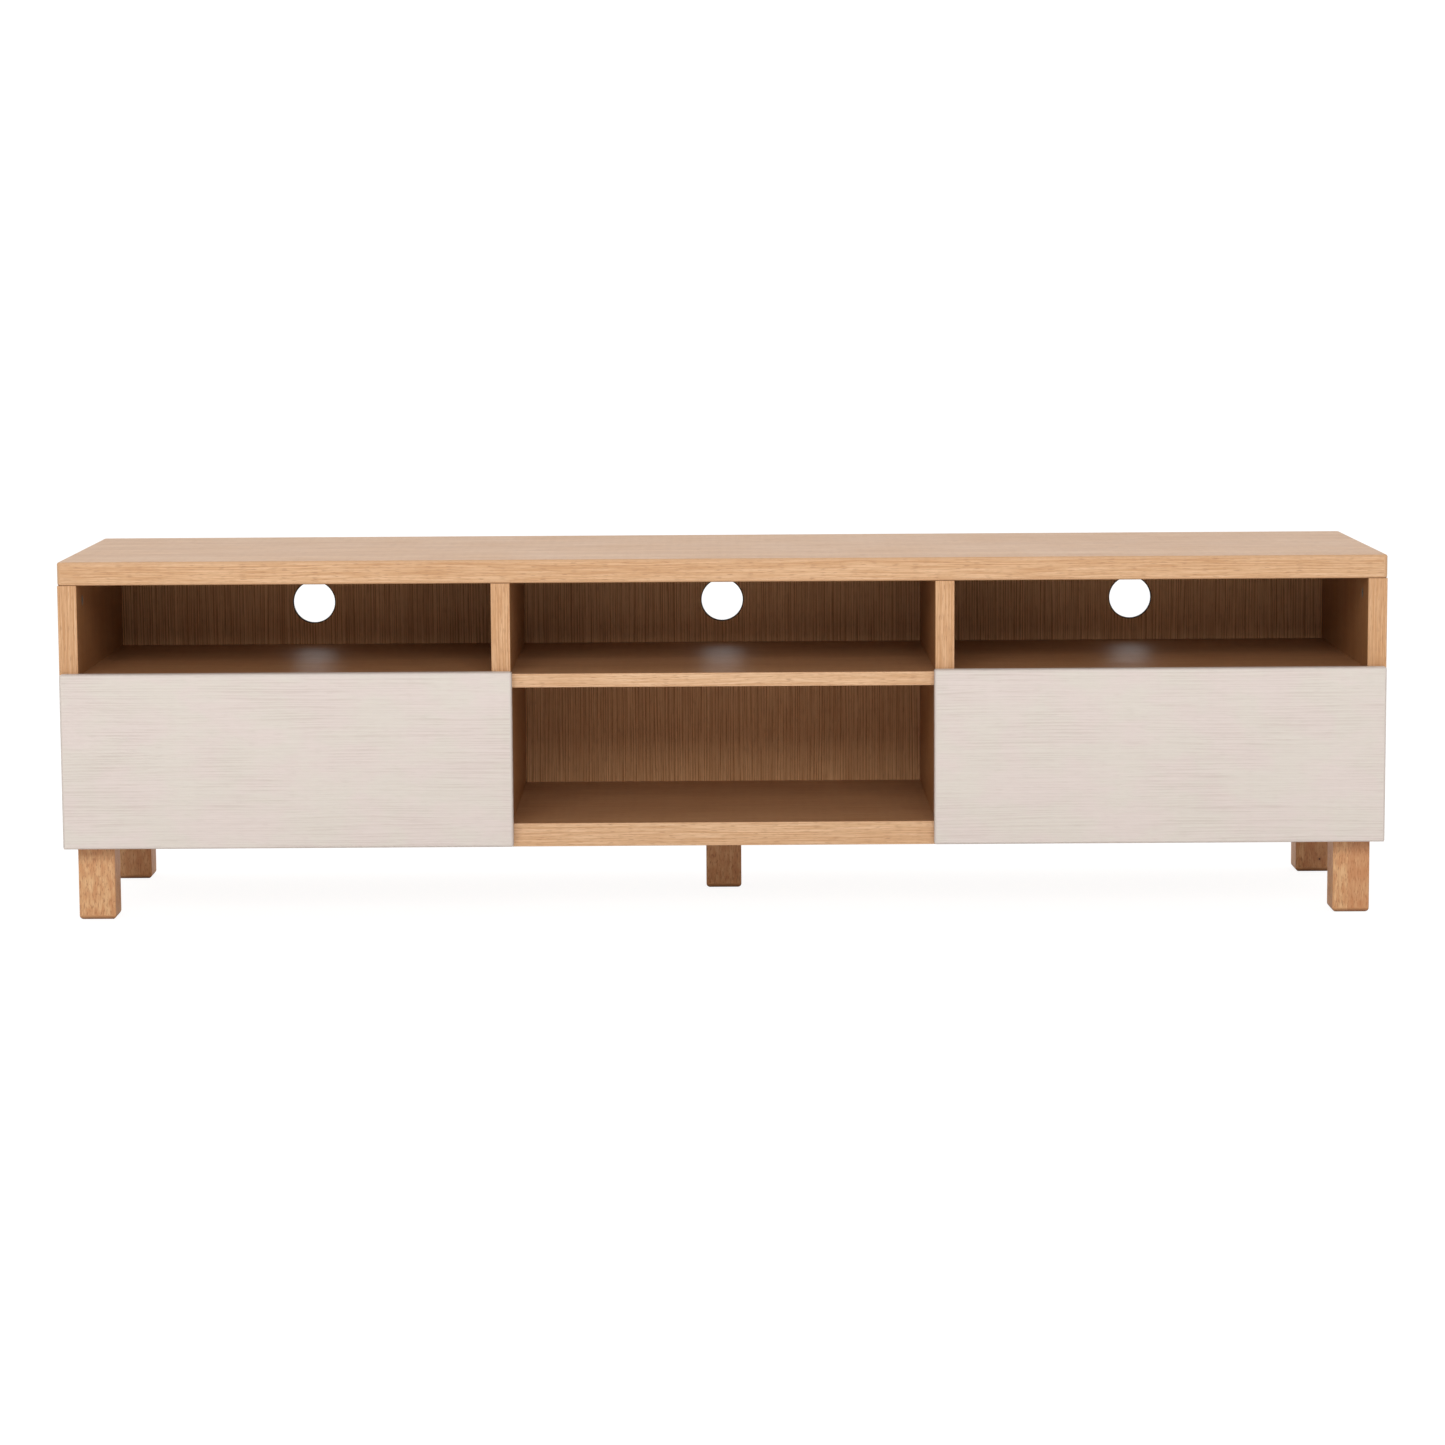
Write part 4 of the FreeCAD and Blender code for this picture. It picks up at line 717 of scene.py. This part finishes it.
# %% Plastic recipe
def plastic(name, tone, shade, roughness):
    material, tree, shader = new_material(name)
    place = put(tree, "TexCoord").outputs["Object"]
    grain = put(tree, "TexNoise", {"Vector": place, "Scale": 1600.0, "Detail": 2.0}).outputs[0]
    cloud = put(tree, "TexNoise", {"Vector": place, "Scale": 60.0, "Detail": 3.0}).outputs[0]
    tree.links.new(blend(tree, cloud, linear(*tone), linear(*shade)), shader["Base Color"])
    tree.links.new(use_group(tree, handling, {"Base roughness": roughness})[0], shader["Roughness"])
    height(tree, shader, grain, 0.02)
    return material


grey_moulding = plastic("grey_moulding", (120, 122, 124), (104, 106, 109), 0.5)
white_moulding = plastic("white_moulding", (222, 222, 218), (206, 206, 202), 0.42)

# %% [markdown]
# ## Giving every node its finish
#
# The frame's nodes are named after the pieces, so a short table of name endings says which finish
# each takes. The order matters where one name contains another: a drawer's screws come before its
# boards. Every node also gets its own `offset` into the veneer and its `size`, which the groups
# above read.

# %% Assign the finishes
FINISHES = [
    ("cam_locks", cast_zinc), ("cam_bolts", plated_screws), ("dowels", ribbed_beech),
    ("screws", plated_screws), ("leg_bolts", plated_screws), ("leg_inserts", turned_brass),
    ("latch_housing", grey_moulding), ("latch_plunger", white_moulding), ("_rail", rolled_zinc),
    ("drawer_front", combed_fronts), ("inner_side", birch_sides), ("outer_side", birch_sides),
    ("box_front", birch_ends), ("box_back", birch_ends), ("drawer_floor", printed_hardboard),
    ("back_panel", oak_backing), ("side_panel", oak_upright), ("divider", oak_upright),
    ("_leg", oiled_legs), ("top_panel", oak_long), ("bottom_panel", oak_long),
    ("shelf", oak_long), ("deck", oak_long),
]
INNER_FACES = [                 # name ending, axes with an inner face on the high side, and low side
    ("left_side_panel", (1, 0, 0), (0, 0, 0)), ("right_side_panel", (0, 0, 0), (1, 0, 0)),
    ("divider", (1, 0, 0), (1, 0, 0)), ("top_panel", (0, 0, 0), (0, 0, 1)),
    ("bottom_panel", (0, 0, 1), (0, 0, 0)), ("shelf", (0, 0, 1), (0, 0, 1)),
    ("deck", (0, 0, 1), (0, 0, 1)), ("", (0, 0, 0), (0, 0, 0)),
]
KNOTS = {"top_panel": (0.549, -0.045, drawn_high.z), "rear_right_leg": (0.8675, 0.160, 0.0185)}
FAR_AWAY = (0.0, 0.0, -10.0)
STRIPS = {                      # glue line's distance from the middle, tone of the second strip
    "front_left_leg": (0.014, 0.08), "front_right_leg": (-0.0045, 0.42), "centre_leg": (0.010, 0.05),
    "rear_left_leg": (-0.012, 0.20), "rear_right_leg": (-0.014, 0.32),
}
BOARD_TONES = {                 # added to the share of dark wood: below zero is paler
    "centre_shelf": -0.18, "bottom_panel": -0.22, "left_side_panel": 0.10,
    "left_back_panel": 0.12,
}
HOLE_HEIGHT = 0.3985            # metres, the middle of the cable holes
SEED, VENEER_SPREAD = 7, 3      # the draw's seed, and how far apart the veneers are cut, in metres
draw = random.Random(SEED)
for name in sorted(nodes):
    piece = nodes[name]
    finish = next(material for ending, material in FINISHES if name.endswith(ending))
    for slot in piece.material_slots:
        slot.material = finish
    low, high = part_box(name)
    middle = (low + high) / 2
    piece["size"] = list(high - low)
    piece["offset"] = [draw.uniform(-VENEER_SPREAD, VENEER_SPREAD) for axis in range(3)]
    piece["knot"] = list(KNOTS.get(name, FAR_AWAY))
    piece["board_tone"] = BOARD_TONES.get(name, 0.0)
    ending, piece["inner_high"], piece["inner_low"] = next(row for row in INNER_FACES
                                                           if name.endswith(row[0]))
    if finish is oak_backing:
        piece["hole"] = [middle.x, middle.y, HOLE_HEIGHT]
    if finish is oiled_legs:
        from_middle, piece["tone"] = STRIPS[name]
        piece["seam"] = middle.x + from_middle
worn = {slot.material.name for piece in nodes.values() for slot in piece.material_slots}
print(len(worn), "finishes")
